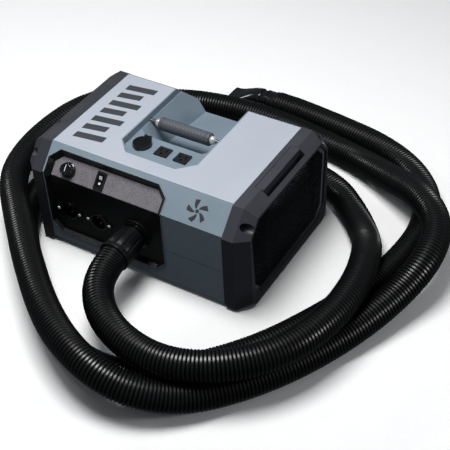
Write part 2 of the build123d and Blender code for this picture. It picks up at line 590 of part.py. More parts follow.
# Hose centreline: out of the cuff, three turns round the housing, to the nozzle.
# The runs that are 92 to 94 high pass over another turn of the hose.
HOSE_ROUTE = [
    (4, -245, 102), (5, -302, 99), (52, -371, 92), (138, -417, 93), (238, -426, 93),
    (330, -382, 93), (404, -302, 93), (440, -195, 93), (444, -85, 93), (420, 15, 84),
    (380, 92, 46), (326, 160, 30), (246, 226, 30), (95, 254, 30), (-65, 256, 32),
    (-200, 250, 56), (-306, 212, 93), (-362, 133, 94), (-386, 32, 84), (-380, -62, 78),
    (-332, -152, 92), (-242, -240, 94), (-138, -338, 94), (-16, -436, 94), (98, -490, 90),
    (194, -490, 64), (276, -442, 38), (344, -364, 30), (408, -270, 30), (466, -152, 36),
    (508, -40, 54), (532, 48, 86), (516, 142, 94), (448, 212, 94), (362, 270, 60),
    (260, 328, 32), (140, 356, 30), (10, 376, 30), (-120, 370, 30), (-232, 340, 30),
    (-312, 282, 30), (-344, 195, 30), (-338, 85, 30), (-322, -45, 30), (-302, -168, 30),
    (-218, -264, 30), (-118, -352, 30), (-22, -418, 30), (66, -450, 30), (152, -442, 30),
    (224, -392, 30), (288, -330, 30), (346, -252, 30), (396, -152, 30), (438, -48, 30),
    (466, 70, 30), (472, 180, 30), (442, 280, 30), (370, 356, 30), (275, 400, 30),
    (175, 418, 30), (90, 430, 30), (35, 436, 30), (-9, 437, 30)]


# --------------------------------------------------------------------------- inside
def make_motor():
    """One flow-through blower motor, its shaft along X, the fan at the outer end."""
    axis = (1, 0, 0)

    def along(x, radius, length):
        return rod((x, MOTOR_Y, MOTOR_Z), axis, radius, length)

    fan_x0, fan_x1 = 152.0, 194.0
    housing = along(fan_x0, FAN_R, fan_x1 - fan_x0) - along(fan_x0 + 2, FAN_R - 2, fan_x1 - fan_x0 - 4)
    housing = housing - along(fan_x1 - 3, 24.0, 5) - along(fan_x0 - 1, 36.0, 5)
    frame = along(78.0, FRAME_R, 74.0) - along(75.0, FRAME_R - 5, 80.0)
    for y in (-FRAME_R, FRAME_R):
        frame = frame - block(90, 140, MOTOR_Y + y - 14, MOTOR_Y + y + 14, MOTOR_Z - 16, MOTOR_Z + 16)
    for x in (78.0, 146.0):
        spider = along(x, BEARING_R + 4, 6.0)
        for angle in (45, 135):
            arm = block(x, x + 6, -FRAME_R + 3, FRAME_R - 3, -5, 5)
            arm = Pos(0, MOTOR_Y, MOTOR_Z) * Rot(angle, 0, 0) * arm
            spider = spider + arm
        frame = frame + spider - along(x - 1, BEARING_R, 8)
    bearings = [ring((x, MOTOR_Y, MOTOR_Z), axis, BEARING_R, SHAFT_R + RUNNING, 6.0)
                for x in (78.0, 146.0)]
    rotor = along(74.0, SHAFT_R, 112.0) + along(96.0, 27.0, 40.0) + along(88.0, 14.0, 8.0)
    for i in range(12):
        angle = math.radians(30 * i)
        rotor = rotor - rod((95, MOTOR_Y + 27 * math.cos(angle), MOTOR_Z + 27 * math.sin(angle)),
                            axis, 2.2, 42)
    impeller = ring((158.0, MOTOR_Y, MOTOR_Z), axis, 57.0, SHAFT_R, 2.5)
    impeller = impeller + ring((186.0, MOTOR_Y, MOTOR_Z), axis, 57.0, 26.0, 2.0)
    impeller = impeller + ring((160.0, MOTOR_Y, MOTOR_Z), axis, 9.0, SHAFT_R, 16.0)
    for i in range(9):
        blade = block(160.4, 186.1, -1.0, 1.0, 27.5, 56.5)
        blade = Pos(0, MOTOR_Y, MOTOR_Z) * Rot(40 * i, 0, 0) * blade
        impeller = impeller + blade
    brushes = [block(88.5, 95.5, MOTOR_Y + side * 27.55 - 13.25, MOTOR_Y + side * 27.55 + 13.25,
                     MOTOR_Z - 4, MOTOR_Z + 4) for side in (-1, 1)]
    bulkhead = section([(-160, FLOOR_Z + WALL), (160, FLOOR_Z + WALL), (160, 176), (120, 214),
                        (-120, 214), (-160, 176)], BULKHEAD_X, BULKHEAD_X + 4)
    bulkhead = bulkhead - rod((BULKHEAD_X - 1, MOTOR_Y, MOTOR_Z), axis, 30, 6)
    isolator = ring((fan_x1, MOTOR_Y, MOTOR_Z), axis, 40, 30, 2.0)
    return {"fan_housing": [housing], "motor_frame": [frame], "bearings": bearings,
            "armature": [rotor], "impeller": [impeller], "carbon_brushes": brushes,
            "motor_bulkhead": [bulkhead], "motor_isolator": [isolator]}


def make_inside():
    """Two motors back to back on a plenum, and the speed control beside them."""
    paired = ("bearings", "carbon_brushes", "motor_isolator")
    motor = make_motor()
    for name, shapes in motor.items():
        twins = [mirrored(shape) for shape in shapes]
        if name in paired:
            save(name if name.endswith("s") else name + "s", *shapes, *twins)
        else:
            save("intake_" + name, *shapes)
            save("rear_" + name, *twins)
    x0, x1, y0, y1, z0, z1 = PLENUM
    plenum = block(*PLENUM) - block(x0 + 3, x1 - 3, y0 + 3, y1 - 3, z0 + 3, z1 - 3)
    plenum = plenum - rod((x0 - 5, MOTOR_Y, MOTOR_Z), (1, 0, 0), 38, x1 - x0 + 10)
    plenum = plenum - rod((PORT_X, y0 - 5, PORT_Z), (0, 1, 0), PORT_R, 15)
    save("air_plenum", plenum)
    collars = [ring((end * edge, MOTOR_Y, MOTOR_Z), (end, 0, 0), 45.8, 38, 78 - edge)
               for end, edge in ((1, x1), (-1, -x0))]
    save("plenum_sleeves", *collars)
    board_y = -118.0
    save("control_board", block(-190, -72, board_y, board_y + 1.6, 30, 150))
    sink = block(-186, -140, board_y + 1.6, board_y + 5, 100, 146)
    for i in range(6):
        sink = sink + block(-185 + 8.6 * i, -183 + 8.6 * i, board_y + 5, board_y + 22, 100, 146)
    save("board_heat_sink", sink)
    save("run_capacitor", rod((-92, board_y + 20, 36), (0, 0, 1), 15, 55))
    save("capacitor_clip", ring((-92, board_y + 20, 58), (0, 0, 1), 16.5, 15, 10)
         + block(-100, -84, board_y + 1.6, board_y + 5, 58, 68))
    posts = [rod((x, board_y, z), (0, -1, 0), 3, board_y + HALF_WIDTH - FACE_RECESS - LINING)
             for x in (-176, -78) for z in (36, 144)]
    save("board_posts", *posts)


make_housing()
make_handle()
make_ends()
make_controls()
make_inlets()
make_sockets()
make_port()
make_hose()
make_inside()
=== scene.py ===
"""Looks of a car dryer blower: finishes, fine detail, the ribbed hose, camera and light."""
import logging
import math
from dataclasses import dataclass
from enum import Enum
from typing import Callable, Iterable, Sequence

import bmesh
import bpy
from mathutils import Matrix, Vector


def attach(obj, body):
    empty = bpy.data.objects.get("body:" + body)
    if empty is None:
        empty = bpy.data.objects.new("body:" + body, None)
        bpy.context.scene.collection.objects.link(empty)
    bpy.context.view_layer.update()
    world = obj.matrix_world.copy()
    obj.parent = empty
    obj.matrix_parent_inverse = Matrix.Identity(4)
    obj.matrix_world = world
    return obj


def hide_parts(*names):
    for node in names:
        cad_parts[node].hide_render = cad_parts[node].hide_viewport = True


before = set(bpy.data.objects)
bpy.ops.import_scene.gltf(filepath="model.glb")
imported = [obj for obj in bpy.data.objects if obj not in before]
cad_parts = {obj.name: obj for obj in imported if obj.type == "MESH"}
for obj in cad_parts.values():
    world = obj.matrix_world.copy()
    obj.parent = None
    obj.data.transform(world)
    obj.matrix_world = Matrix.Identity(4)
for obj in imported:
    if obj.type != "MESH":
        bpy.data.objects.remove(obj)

LOG = logging.getLogger("blower")
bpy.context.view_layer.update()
MM = 0.001
Point = tuple[float, float, float]
Piece = bpy.types.Object
Socket = bpy.types.NodeSocket
PRINT_LIFT = 0.0002
COAT_ROUGHNESS = 0.12
FINE_SHARE = 0.55
PATCH_SHARE = 0.45
RAMP_START = 0.3
RAMP_END = 0.7
BUMP_STRENGTH = 0.5
BEVEL_SAMPLES = 4
BRUSH_STRETCH = (1.0, 0.06, 0.06)
CELL_REACH = 0.7
KNURL_TILT = 0.3
KNURL_TURN = 0.7
WAVE_SPAN = 6.283
HEAD_TAPER = 0.72


# ------------------------------------------------------------------------- finishes
class Grain(Enum):
    """The kind of fine surface relief a finish has."""

    MOULDED = "moulded"
    BRUSHED = "brushed"
    SPECKLED = "speckled"
    KNURLED = "knurled"
    FOAM = "foam"
    SMOOTH = "smooth"


def srgb(code: str) -> tuple[float, float, float, float]:
    """Turn a display colour such as "8FA0AC" into linear red, green, blue and alpha.

    Args:
        code: six hexadecimal digits.

    Returns:
        The linear colour, with alpha 1.
    """
    values = [int(code[i:i + 2], 16) / 255 for i in (0, 2, 4)]
    linear = [v / 12.92 if v <= 0.04045 else ((v + 0.055) / 1.055) ** 2.4 for v in values]
    return (linear[0], linear[1], linear[2], 1.0)


@dataclass(frozen=True)
class Finish:
    """One surface finish, built as a node material that reads Object coordinates."""

    name: str
    light: str
    dark: str
    roughness: float = 0.5
    roughness_spread: float = 0.1
    metallic: float = 0.0
    specular: float = 0.5
    coat: float = 0.0
    grain: Grain = Grain.MOULDED
    grain_size: float = 0.0012
    grain_height: float = 0.0001
    patch_size: float = 0.06
    edge: float = 0.0008

    def material(self) -> bpy.types.Material:
        """Return the material of this finish, made on first use."""
        found = bpy.data.materials.get(self.name)
        return found if found else self._build()

    def _build(self) -> bpy.types.Material:
        """Make the node tree: patchy colour, uneven gloss, fine relief, soft edges.

        Returns:
            The new material.
        """
        material = bpy.data.materials.new(self.name)
        material.use_nodes = True
        tree = material.node_tree
        tree.nodes.clear()
        output = tree.nodes.new("ShaderNodeOutputMaterial")
        shader = tree.nodes.new("ShaderNodeBsdfPrincipled")
        for key, value in (("Metallic", self.metallic), ("Specular IOR Level", self.specular),
                           ("Coat Weight", self.coat), ("Coat Roughness", COAT_ROUGHNESS)):
            shader.inputs[key].default_value = value
        tree.links.new(shader.outputs["BSDF"], output.inputs["Surface"])
        place = tree.nodes.new("ShaderNodeTexCoord").outputs["Object"]
        patches = self._noise(tree, place, 1 / self.patch_size, 4.0)
        fine = self._grain(tree, place)
        blend = tree.nodes.new("ShaderNodeMath")
        blend.operation = "MULTIPLY_ADD"
        blend.inputs[1].default_value = FINE_SHARE
        tree.links.new(fine, blend.inputs[0])
        half = tree.nodes.new("ShaderNodeMath")
        half.operation = "MULTIPLY"
        half.inputs[1].default_value = PATCH_SHARE
        tree.links.new(patches, half.inputs[0])
        tree.links.new(half.outputs[0], blend.inputs[2])
        colour = tree.nodes.new("ShaderNodeValToRGB")
        for element, position, tone in zip(colour.color_ramp.elements, (RAMP_START, RAMP_END),
                                           (self.dark, self.light)):
            element.position = position
            element.color = srgb(tone)
        tree.links.new(blend.outputs[0], colour.inputs["Fac"])
        tree.links.new(colour.outputs["Color"], shader.inputs["Base Color"])
        gloss = tree.nodes.new("ShaderNodeMapRange")
        gloss.inputs["To Min"].default_value = max(0.02, self.roughness - self.roughness_spread)
        gloss.inputs["To Max"].default_value = min(1.0, self.roughness + self.roughness_spread)
        tree.links.new(patches, gloss.inputs["Value"])
        tree.links.new(gloss.outputs["Result"], shader.inputs["Roughness"])
        bump = tree.nodes.new("ShaderNodeBump")
        bump.inputs["Strength"].default_value = BUMP_STRENGTH
        bump.inputs["Distance"].default_value = self.grain_height
        tree.links.new(fine, bump.inputs["Height"])
        if self.edge > 0:
            rounded = tree.nodes.new("ShaderNodeBevel")
            rounded.samples = BEVEL_SAMPLES
            rounded.inputs["Radius"].default_value = self.edge
            tree.links.new(rounded.outputs["Normal"], bump.inputs["Normal"])
        tree.links.new(bump.outputs["Normal"], shader.inputs["Normal"])
        return material

    @staticmethod
    def _noise(tree: bpy.types.NodeTree, place: Socket, scale: float, detail: float) -> Socket:
        """Add a noise texture.

        Args:
            tree: the material's node tree.
            place: the socket that gives coordinates.
            scale: cells to a metre.
            detail: octaves of noise.

        Returns:
            Its value socket.
        """
        noise = tree.nodes.new("ShaderNodeTexNoise")
        noise.inputs["Scale"].default_value = scale
        noise.inputs["Detail"].default_value = detail
        tree.links.new(place, noise.inputs["Vector"])
        return noise.outputs["Fac"]

    def _grain(self, tree: bpy.types.NodeTree, place: Socket) -> Socket:
        """Add the fine relief of this finish.

        Args:
            tree: the material's node tree.
            place: the socket that gives Object coordinates.

        Returns:
            A value socket, about 0 to 1.
        """
        scale = 1 / self.grain_size
        if self.grain in (Grain.MOULDED, Grain.SMOOTH):
            return self._noise(tree, place, scale, 2.0)
        if self.grain is Grain.BRUSHED:
            mapping = tree.nodes.new("ShaderNodeMapping")
            mapping.inputs["Scale"].default_value = BRUSH_STRETCH
            tree.links.new(place, mapping.inputs["Vector"])
            return self._noise(tree, mapping.outputs["Vector"], scale, 3.0)
        if self.grain is Grain.KNURLED:
            return self._knurl(tree, place, scale)
        cells = tree.nodes.new("ShaderNodeTexVoronoi")
        cells.inputs["Scale"].default_value = scale
        tree.links.new(place, cells.inputs["Vector"])
        spread = tree.nodes.new("ShaderNodeMapRange")
        spread.inputs["From Max"].default_value = CELL_REACH
        tree.links.new(cells.outputs["Distance"], spread.inputs["Value"])
        return spread.outputs["Result"]

    @staticmethod
    def _knurl(tree: bpy.types.NodeTree, place: Socket, scale: float) -> Socket:
        """Cross two sets of fine waves into a raised diamond relief.

        Args:
            tree: the material's node tree.
            place: the socket that gives Object coordinates.
            scale: waves to a metre.

        Returns:
            A value socket, 0 to 1.
        """
        products = []
        for turn in (KNURL_TURN, -KNURL_TURN):
            mapping = tree.nodes.new("ShaderNodeMapping")
            mapping.inputs["Rotation"].default_value = (KNURL_TILT, turn, turn)
            tree.links.new(place, mapping.inputs["Vector"])
            wave = tree.nodes.new("ShaderNodeTexWave")
            wave.inputs["Scale"].default_value = scale / WAVE_SPAN
            tree.links.new(mapping.outputs["Vector"], wave.inputs["Vector"])
            products.append(wave.outputs["Fac"])
        cross = tree.nodes.new("ShaderNodeMath")
        cross.operation = "MULTIPLY"
        tree.links.new(products[0], cross.inputs[0])
        tree.links.new(products[1], cross.inputs[1])
        return cross.outputs[0]


BLUE_GREY = Finish("blue_grey_plastic", "8C9CA8", "7F909C", 0.5, 0.08, grain_size=0.0008,
                   grain_height=0.00012)
# A darker copy of the shells' blue-grey for the handle tray: painted shade of the recessed well.
TRAY_SHADED_GREY = Finish("tray_blue_grey_painted_shade", "7C8B98", "707F8B", 0.48, 0.08, grain_size=0.0008,
                   grain_height=0.00012)
CHARCOAL = Finish("charcoal_moulding", "3A3C43", "303238", 0.45, 0.1, grain_size=0.0009,
                  grain_height=0.00016)
SILVER = Finish("silver_lacquer", "BAC0CB", "B0B7C3", 0.42, 0.06, metallic=0.15, coat=0.2,
                grain=Grain.SMOOTH, grain_size=0.0006, grain_height=0.00003, patch_size=0.12)
MAUVE = Finish("mauve_speckled_lacquer", "8B878D", "716D74", 0.42, 0.12, metallic=0.2,
               grain=Grain.SPECKLED, grain_size=0.0035, grain_height=0.0001, patch_size=0.015)
INSERT_BLACK = Finish("insert_black", "111214", "0B0C0D", 0.4, 0.08)
GLOSS_BLACK = Finish("polished_black", "0C0D0E", "070708", 0.16, 0.04, coat=0.5, grain=Grain.SMOOTH,
                     grain_height=0.00002, edge=0.0005)
KNOB_BLACK = Finish("knob_black", "121315", "0B0C0D", 0.15, 0.04, coat=0.4, grain=Grain.SMOOTH,
                    edge=0.0007)
SOCKET_BLACK = Finish("socket_black", "1B1D20", "131416", 0.34, 0.08, edge=0.0005)
HOSE_BLACK = Finish("ribbed_hose_black", "0B0C0D", "060607", 0.3, 0.04, grain=Grain.SMOOTH,
                    edge=0.0, grain_height=0.00004, patch_size=0.2)
CUFF_BLACK = Finish("cuff_black", "0F1012", "090A0B", 0.3, 0.06, edge=0.0006)
GRIP_RUBBER = Finish("knurled_rubber", "5B5E66", "494C53", 0.62, 0.08, grain=Grain.KNURLED,
                     grain_size=0.0022, grain_height=0.0005, edge=0.0)
SOFT_RUBBER = Finish("soft_rubber", "1A1A1A", "101010", 0.8, 0.1)
PRINT_DARK = Finish("printed_dark", "3B3D44", "33353B", 0.5, 0.05, grain=Grain.SMOOTH, edge=0.0)
PRINT_WHITE = Finish("printed_white", "E8E8EA", "DADADD", 0.4, 0.05, grain=Grain.SMOOTH, edge=0.0)
SEAM_GREY = Finish("seam_grey", "5E6A74", "525E68", 0.55, 0.05, edge=0.0)
# Pale colour of the strip along the insert's lip: a painted highlight on the edge.
EDGE_HIGHLIGHT_GREY = Finish("painted_edge_highlight", "A9B7C0", "98A7B1", 0.4, 0.05, edge=0.0)
BRIGHT = Finish("bright_plate", "F2F2F2", "E6E6E6", 0.2, 0.05, metallic=0.55, grain=Grain.SMOOTH,
                grain_height=0.00001)
STEEL = Finish("turned_steel", "A6A6A9", "8E8E92", 0.34, 0.08, metallic=1.0, grain=Grain.BRUSHED,
               grain_size=0.0006, grain_height=0.00003)
BRASS = Finish("drawn_brass", "E8B558", "CF9A3E", 0.3, 0.06, metallic=0.7, grain=Grain.BRUSHED,
               grain_size=0.0005, grain_height=0.00002, edge=0.0003)
FOAM = Finish("filter_foam", "17181A", "0A0A0B", 0.95, 0.05, grain=Grain.FOAM, grain_size=0.0028,
              grain_height=0.0012, edge=0.0)
CAST = Finish("cast_aluminium", "B4B6BA", "9A9CA1", 0.45, 0.1, metallic=1.0, grain_size=0.0015)
MESH_BLACK = Finish("mesh_black", "6A6D73", "54575C", 0.3, 0.08, edge=0.0)
STUD = Finish("inlet_screw_zinc", "F4F4F4", "E4E4E4", 0.35, 0.05, metallic=0.2, grain=Grain.SMOOTH,
              grain_height=0.00001)
BOARD_GREEN = Finish("board_green", "1F5A36", "17452A", 0.4, 0.1, grain=Grain.SMOOTH)


# --------------------------------------------------------------------- mesh building
def dress(finish: Finish, *nodes: str) -> None:
    """Give CAD nodes a finish in place of their own materials.

    Args:
        finish: the finish that covers them.
        *nodes: the nodes' names.
    """
    for node in nodes:
        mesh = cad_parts[node].data
        mesh.materials.clear()
        mesh.materials.append(finish.material())


def show(item: Piece) -> None:
    """Link an object to the scene."""
    bpy.context.scene.collection.objects.link(item)


def flattened(holder: Piece) -> bpy.types.Mesh:
    """Turn an object with its modifiers into a plain mesh, and remove the object.

    Args:
        holder: the object, not yet linked.

    Returns:
        The plain mesh.
    """
    show(holder)
    bpy.context.view_layer.update()
    evaluated = holder.evaluated_get(bpy.context.evaluated_depsgraph_get())
    mesh = bpy.data.meshes.new_from_object(evaluated)
    bpy.data.objects.remove(holder)
    return mesh


def new_piece(name: str, mesh: bpy.types.Mesh, finish: Finish,
              smooth: float = 35.0) -> Piece:
    """Make an object of a finished mesh, shaded smooth below an angle.

    Args:
        name: the piece's name.
        mesh: its mesh, in row coordinates.
        finish: the finish that covers it.
        smooth: the angle in degrees above which an edge stays sharp.

    Returns:
        The linked object.
    """
    mesh.name = name
    mesh.materials.clear()
    mesh.materials.append(finish.material())
    mesh.polygons.foreach_set("use_smooth", [True] * len(mesh.polygons))
    mesh.set_sharp_from_angle(angle=math.radians(smooth))
    mesh.update()
    piece = bpy.data.objects.new(name, mesh)
    show(piece)
    return piece


def shell_mesh(rings: Sequence[Sequence[Vector]], closed: bool) -> bpy.types.Mesh:
    """Join rings of points into a skin.

    Args:
        rings: loops with the same number of points.
        closed: True joins the last ring to the first, as on a hollow tube; False caps both ends.

    Returns:
        A closed mesh whose faces point outwards.
    """
    count = len(rings[0])
    points = [tuple(p) for ring in rings for p in ring]
    faces = []
    spans = len(rings) if closed else len(rings) - 1
    for i in range(spans):
        a, b = i * count, ((i + 1) % len(rings)) * count
        for j in range(count):
            k = (j + 1) % count
            faces.append((a + j, a + k, b + k, b + j))
    if not closed:
        faces.append(tuple(range(count)))
        faces.append(tuple(reversed(range((len(rings) - 1) * count, len(rings) * count))))
    mesh = bpy.data.meshes.new("shell")
    mesh.from_pydata(points, [], faces)
    work = bmesh.new()
    work.from_mesh(mesh)
    bmesh.ops.remove_doubles(work, verts=work.verts, dist=1e-6)
    bmesh.ops.recalc_face_normals(work, faces=work.faces)
    work.to_mesh(mesh)
    work.free()
    return mesh


def across(axis: Vector) -> tuple[Vector, Vector]:
    """Find two unit vectors square to an axis.

    Args:
        axis: a unit vector.

    Returns:
        One level with the floor where it can be, and one square to both.
    """
    up = Vector((0, 0, 1)) if abs(axis.z) < 0.9 else Vector((0, 1, 0))
    side = axis.cross(up).normalized()
    return side, side.cross(axis).normalized()


def turns(count: int) -> list[float]:
    """Return that many equal steps of angle round a circle, in radians."""
    return [2 * math.pi * i / count for i in range(count)]


def circle(centre: Vector, side: Vector, up: Vector, radius: float,
           count: int) -> list[Vector]:
    """Put points round a circle.

    Args:
        centre: its centre, in metres.
        side: a unit vector in its plane.
        up: another, square to the first.
        radius: its radius, in metres.
        count: the number of points.

    Returns:
        The points.
    """
    return [centre + (side * math.cos(t) + up * math.sin(t)) * radius for t in turns(count)]


def lathe(start: Point, direction: Point, profile: Sequence[tuple[float, float]],
          segments: int) -> bpy.types.Mesh:
    """Turn the loop of a hollow profile about an axis.

    Args:
        start: a point on the axis, in metres.
        direction: the axis.
        profile: (radius, distance along the axis) pairs in millimetres.
        segments: points round the axis.

    Returns:
        The closed mesh.
    """
    axis = Vector(direction).normalized()
    side, up = across(axis)
    rings = []
    for radius, along in profile:
        centre = Vector(start) + axis * along * MM
        rings.append(circle(centre, side, up, radius * MM, segments))
    return shell_mesh(rings, True)


def slab(outline: Sequence[Vector], thickness: Vector) -> bpy.types.Mesh:
    """Make a flat closed plate: an outline in space, given a thickness along a vector."""
    return shell_mesh([list(outline), [p + thickness for p in outline]], False)


def joined(meshes: Iterable[bpy.types.Mesh]) -> bpy.types.Mesh:
    """Join several meshes into one.

    Args:
        meshes: the meshes.

    Returns:
        The new mesh.
    """
    work = bmesh.new()
    for mesh in meshes:
        work.from_mesh(mesh)
    result = bpy.data.meshes.new("joined")
    work.to_mesh(result)
    work.free()
    return result


@dataclass(frozen=True)
class Facet:
    """A flat face of the housing, with its own two directions and outward normal."""

    origin: Vector
    right: Vector
    down: Vector
    normal: Vector

    def at(self, a: float, b: float, lift: float = 0.0) -> Vector:
        """Return the point a along right, b along down and lift above the face, in millimetres."""
        return self.origin + (self.right * a + self.down * b + self.normal * lift) * MM


# -------------------------------------------------------------------- geometry nodes
class PatternTree:
    """A Geometry Nodes tree that puts a small shape on every point of a mesh."""

    def __init__(self, name: str, finish: Finish) -> None:
        """Start the tree with its geometry sockets.

        Args:
            name: the tree's name.
            finish: the finish of the shape.
        """
        self.tree = bpy.data.node_groups.new(name, "GeometryNodeTree")
        self.finish = finish
        face = self.tree.interface
        face.new_socket("Points", in_out="INPUT", socket_type="NodeSocketGeometry")
        face.new_socket("Geometry", in_out="OUTPUT", socket_type="NodeSocketGeometry")
        self.source: bpy.types.Node | None = None

    def size(self, name: str) -> None:
        """Add a named size input, in metres."""
        self.tree.interface.new_socket(name, in_out="INPUT", socket_type="NodeSocketFloat")

    def node(self, kind: str) -> bpy.types.Node:
        """Add a node."""
        return self.tree.nodes.new(kind)

    def link(self, start: Socket, end: Socket) -> None:
        """Join two sockets."""
        self.tree.links.new(start, end)

    def finish_with(self, shape: Socket, turn: Point) -> None:
        """Put the shape on the points, then realize it and set its material.

        Args:
            shape: the socket that gives the shape.
            turn: the shape's rotation about X, Y and Z, in radians.
        """
        place = self.node("GeometryNodeInstanceOnPoints")
        place.inputs["Rotation"].default_value = turn
        self.link(self.source.outputs["Points"], place.inputs["Points"])
        self.link(shape, place.inputs["Instance"])
        real = self.node("GeometryNodeRealizeInstances")
        self.link(place.outputs["Instances"], real.inputs["Geometry"])
        paint = self.node("GeometryNodeSetMaterial")
        paint.inputs["Material"].default_value = self.finish.material()
        self.link(real.outputs["Geometry"], paint.inputs["Geometry"])
        end = self.node("NodeGroupOutput")
        self.link(paint.outputs["Geometry"], end.inputs["Geometry"])

    def apply(self, points: Sequence[Point], sizes: dict[str, float]) -> bpy.types.Mesh:
        """Run the tree on a set of points.

        Args:
            points: where the shape is put, in metres.
            sizes: the value of each named input.

        Returns:
            A plain mesh.
        """
        seed = bpy.data.meshes.new("points")
        seed.from_pydata(points, [], [])
        holder = bpy.data.objects.new("points", seed)
        modifier = holder.modifiers.new("pattern", "NODES")
        modifier.node_group = self.tree
        for item in self.tree.interface.items_tree:
            if item.in_out == "INPUT" and item.name in sizes:
                modifier[item.identifier] = sizes[item.name]
        return flattened(holder)


def lattice_tree(finish: Finish) -> PatternTree:
    """Make open diamonds of square bar, standing in the YZ plane.

    Args:
        finish: the bars' finish.

    Returns:
        The tree, with inputs Cell and Bar.
    """
    pattern = PatternTree("grille_lattice", finish)
    pattern.size("Cell")
    pattern.size("Bar")
    pattern.source = pattern.node("NodeGroupInput")
    circle = pattern.node("GeometryNodeCurvePrimitiveCircle")
    circle.inputs["Resolution"].default_value = 4
    pattern.link(pattern.source.outputs["Cell"], circle.inputs["Radius"])
    section = pattern.node("GeometryNodeCurvePrimitiveQuadrilateral")
    pattern.link(pattern.source.outputs["Bar"], section.inputs["Width"])
    pattern.link(pattern.source.outputs["Bar"], section.inputs["Height"])
    sweep = pattern.node("GeometryNodeCurveToMesh")
    pattern.link(circle.outputs["Curve"], sweep.inputs["Curve"])
    pattern.link(section.outputs["Curve"], sweep.inputs["Profile Curve"])
    pattern.finish_with(sweep.outputs["Mesh"], (0.0, math.pi / 2, 0.0))
    return pattern


def screw_tree(finish: Finish) -> PatternTree:
    """Make low tapered screw heads whose axis is along Y.

    Args:
        finish: the heads' finish.

    Returns:
        The tree, with inputs Radius and Height.
    """
    pattern = PatternTree("screw_heads", finish)
    pattern.size("Radius")
    pattern.size("Height")
    pattern.source = pattern.node("NodeGroupInput")
    head = pattern.node("GeometryNodeMeshCone")
    head.inputs["Vertices"].default_value = 20
    shrink = pattern.node("ShaderNodeMath")
    shrink.operation = "MULTIPLY"
    shrink.inputs[1].default_value = HEAD_TAPER
    pattern.link(pattern.source.outputs["Radius"], head.inputs["Radius Bottom"])
    pattern.link(pattern.source.outputs["Radius"], shrink.inputs[0])
    pattern.link(shrink.outputs[0], head.inputs["Radius Top"])
    pattern.link(pattern.source.outputs["Height"], head.inputs["Depth"])
    pattern.finish_with(head.outputs["Mesh"], (math.pi / 2, 0.0, 0.0))
    return pattern


# --------------------------------------------------------------------------- housing
@dataclass
class Housing:
    """The two shells, the silver plate, their seams, and the marks on them."""

    top_half: float = 135.0
    half_width: float = 180.0
    top_z: float = 232.5
    crease_z: float = 185.5
    seam_x: float = 210.0
    split_z: float = 96.0
    parting_half: float = 0.5
    notch_half: float = 90.0
    insert_x: float = 75.5
    joint: tuple[float, float] = (1.4, 0.2)
    bar_count: int = 7
    bar_left: float = -184.0
    bar_first: float = -104.0
    bar_step: float = 31.0
    bar_slant: float = 9.0
    bar_width: float = 18.0
    bar_reach: tuple[float, float] = (67.0, 52.0)
    emblem: tuple[float, float] = (145.0, 35.0)
    blades: int = 5

    def chamfer(self) -> Facet:
        """Return the long front chamfer, measured from its upper edge."""
        down = Vector((0, self.top_half - self.half_width, self.crease_z - self.top_z)).normalized()
        return Facet(Vector((0, -self.top_half, self.top_z)) * MM, Vector((1, 0, 0)), down,
                     Vector((0, down.z, -down.y)))

    def top(self) -> Facet:
        """Return the silver plate's face, measured from its centre."""
        return Facet(Vector((0, 0, self.top_z)) * MM, Vector((1, 0, 0)), Vector((0, -1, 0)),
                     Vector((0, 0, 1)))

    def build(self) -> list[Piece]:
        """Dress the shells and add seams and marks.

        Returns:
            The new pieces.
        """
        dress(BLUE_GREY, "lower_shell", "upper_shell")
        # The handle tray gets the darker copy of the blue-grey: painted shade in the well.
        dress(TRAY_SHADED_GREY, "handle_tray")
        dress(SILVER, "top_plate")
        dress(STEEL, "shell_screws")
        pieces = [self._seams(), self._bars(), self._emblem()]
        for piece in pieces:
            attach(piece, "housing")
        return pieces

    def _seams(self) -> Piece:
        """Make thin dark joint lines, along the plate's edges and at the shells' parting.

        Returns:
            The piece.
        """
        parts = []
        face = self.top()
        end, sink, low, high = self.seam_x, -0.3, -self.parting_half, self.parting_half
        for side, x0, x1 in ((1, -end, end), (-1, -end, -self.notch_half),
                             (-1, self.notch_half, end)):
            a, b = (side * (self.top_half - inset) for inset in self.joint)
            outline = [face.at(x, s, sink) for x, s in ((x0, a), (x1, a), (x1, b), (x0, b))]
            parts.append(slab(outline, Vector((0, 0, 0.0004))))
        for side, x0, x1 in ((1, -end, end), (-1, self.insert_x, end)):
            outline = [Vector((x, side * self.half_width, self.split_z + rise)) * MM
                       for x, rise in ((x0, low), (x1, low), (x1, high), (x0, high))]
            parts.append(slab(outline, Vector((0, side * 0.00012, 0))))
        return new_piece("shell_joint_lines", joined(parts), SEAM_GREY)

    def _bars(self) -> Piece:
        """Make a row of slanted bars printed on the silver plate.

        Returns:
            The piece.
        """
        face, x0, slant, width = self.top(), self.bar_left, self.bar_slant, self.bar_width
        parts = []
        for i in range(self.bar_count):
            start = -self.bar_first - i * self.bar_step
            x1 = x0 + self.bar_reach[i % 2]
            outline = [face.at(x0, start), face.at(x1, start - slant),
                       face.at(x1, start - slant - width), face.at(x0, start - width)]
            parts.append(slab(outline, Vector((0, 0, 0.00015))))
        return new_piece("printed_bars", joined(parts), PRINT_DARK)

    def _emblem(self) -> Piece:
        """Make a plain fan rosette printed on the front chamfer.

        Returns:
            The piece.
        """
        face = self.chamfer()
        x, s = self.emblem
        root, span, tip, curl, spread, bend, hub = 6, 17, 23, 0.5, 0.95, 0.45, 4
        shares = (0, 0.25, 0.5, 0.75, 1)
        loops = [[(root + span * t, start + curl * t) for t in shares]
                 + [(tip - span * t, start + spread - bend * t * t) for t in shares]
                 for start in turns(self.blades)]
        loops.append([(hub, t) for t in turns(20)])
        parts = [slab([face.at(x + r * math.cos(a), s + r * math.sin(a)) for r, a in loop],
                      face.normal * PRINT_LIFT) for loop in loops]
        return new_piece("fan_rosette", joined(parts), PRINT_DARK)


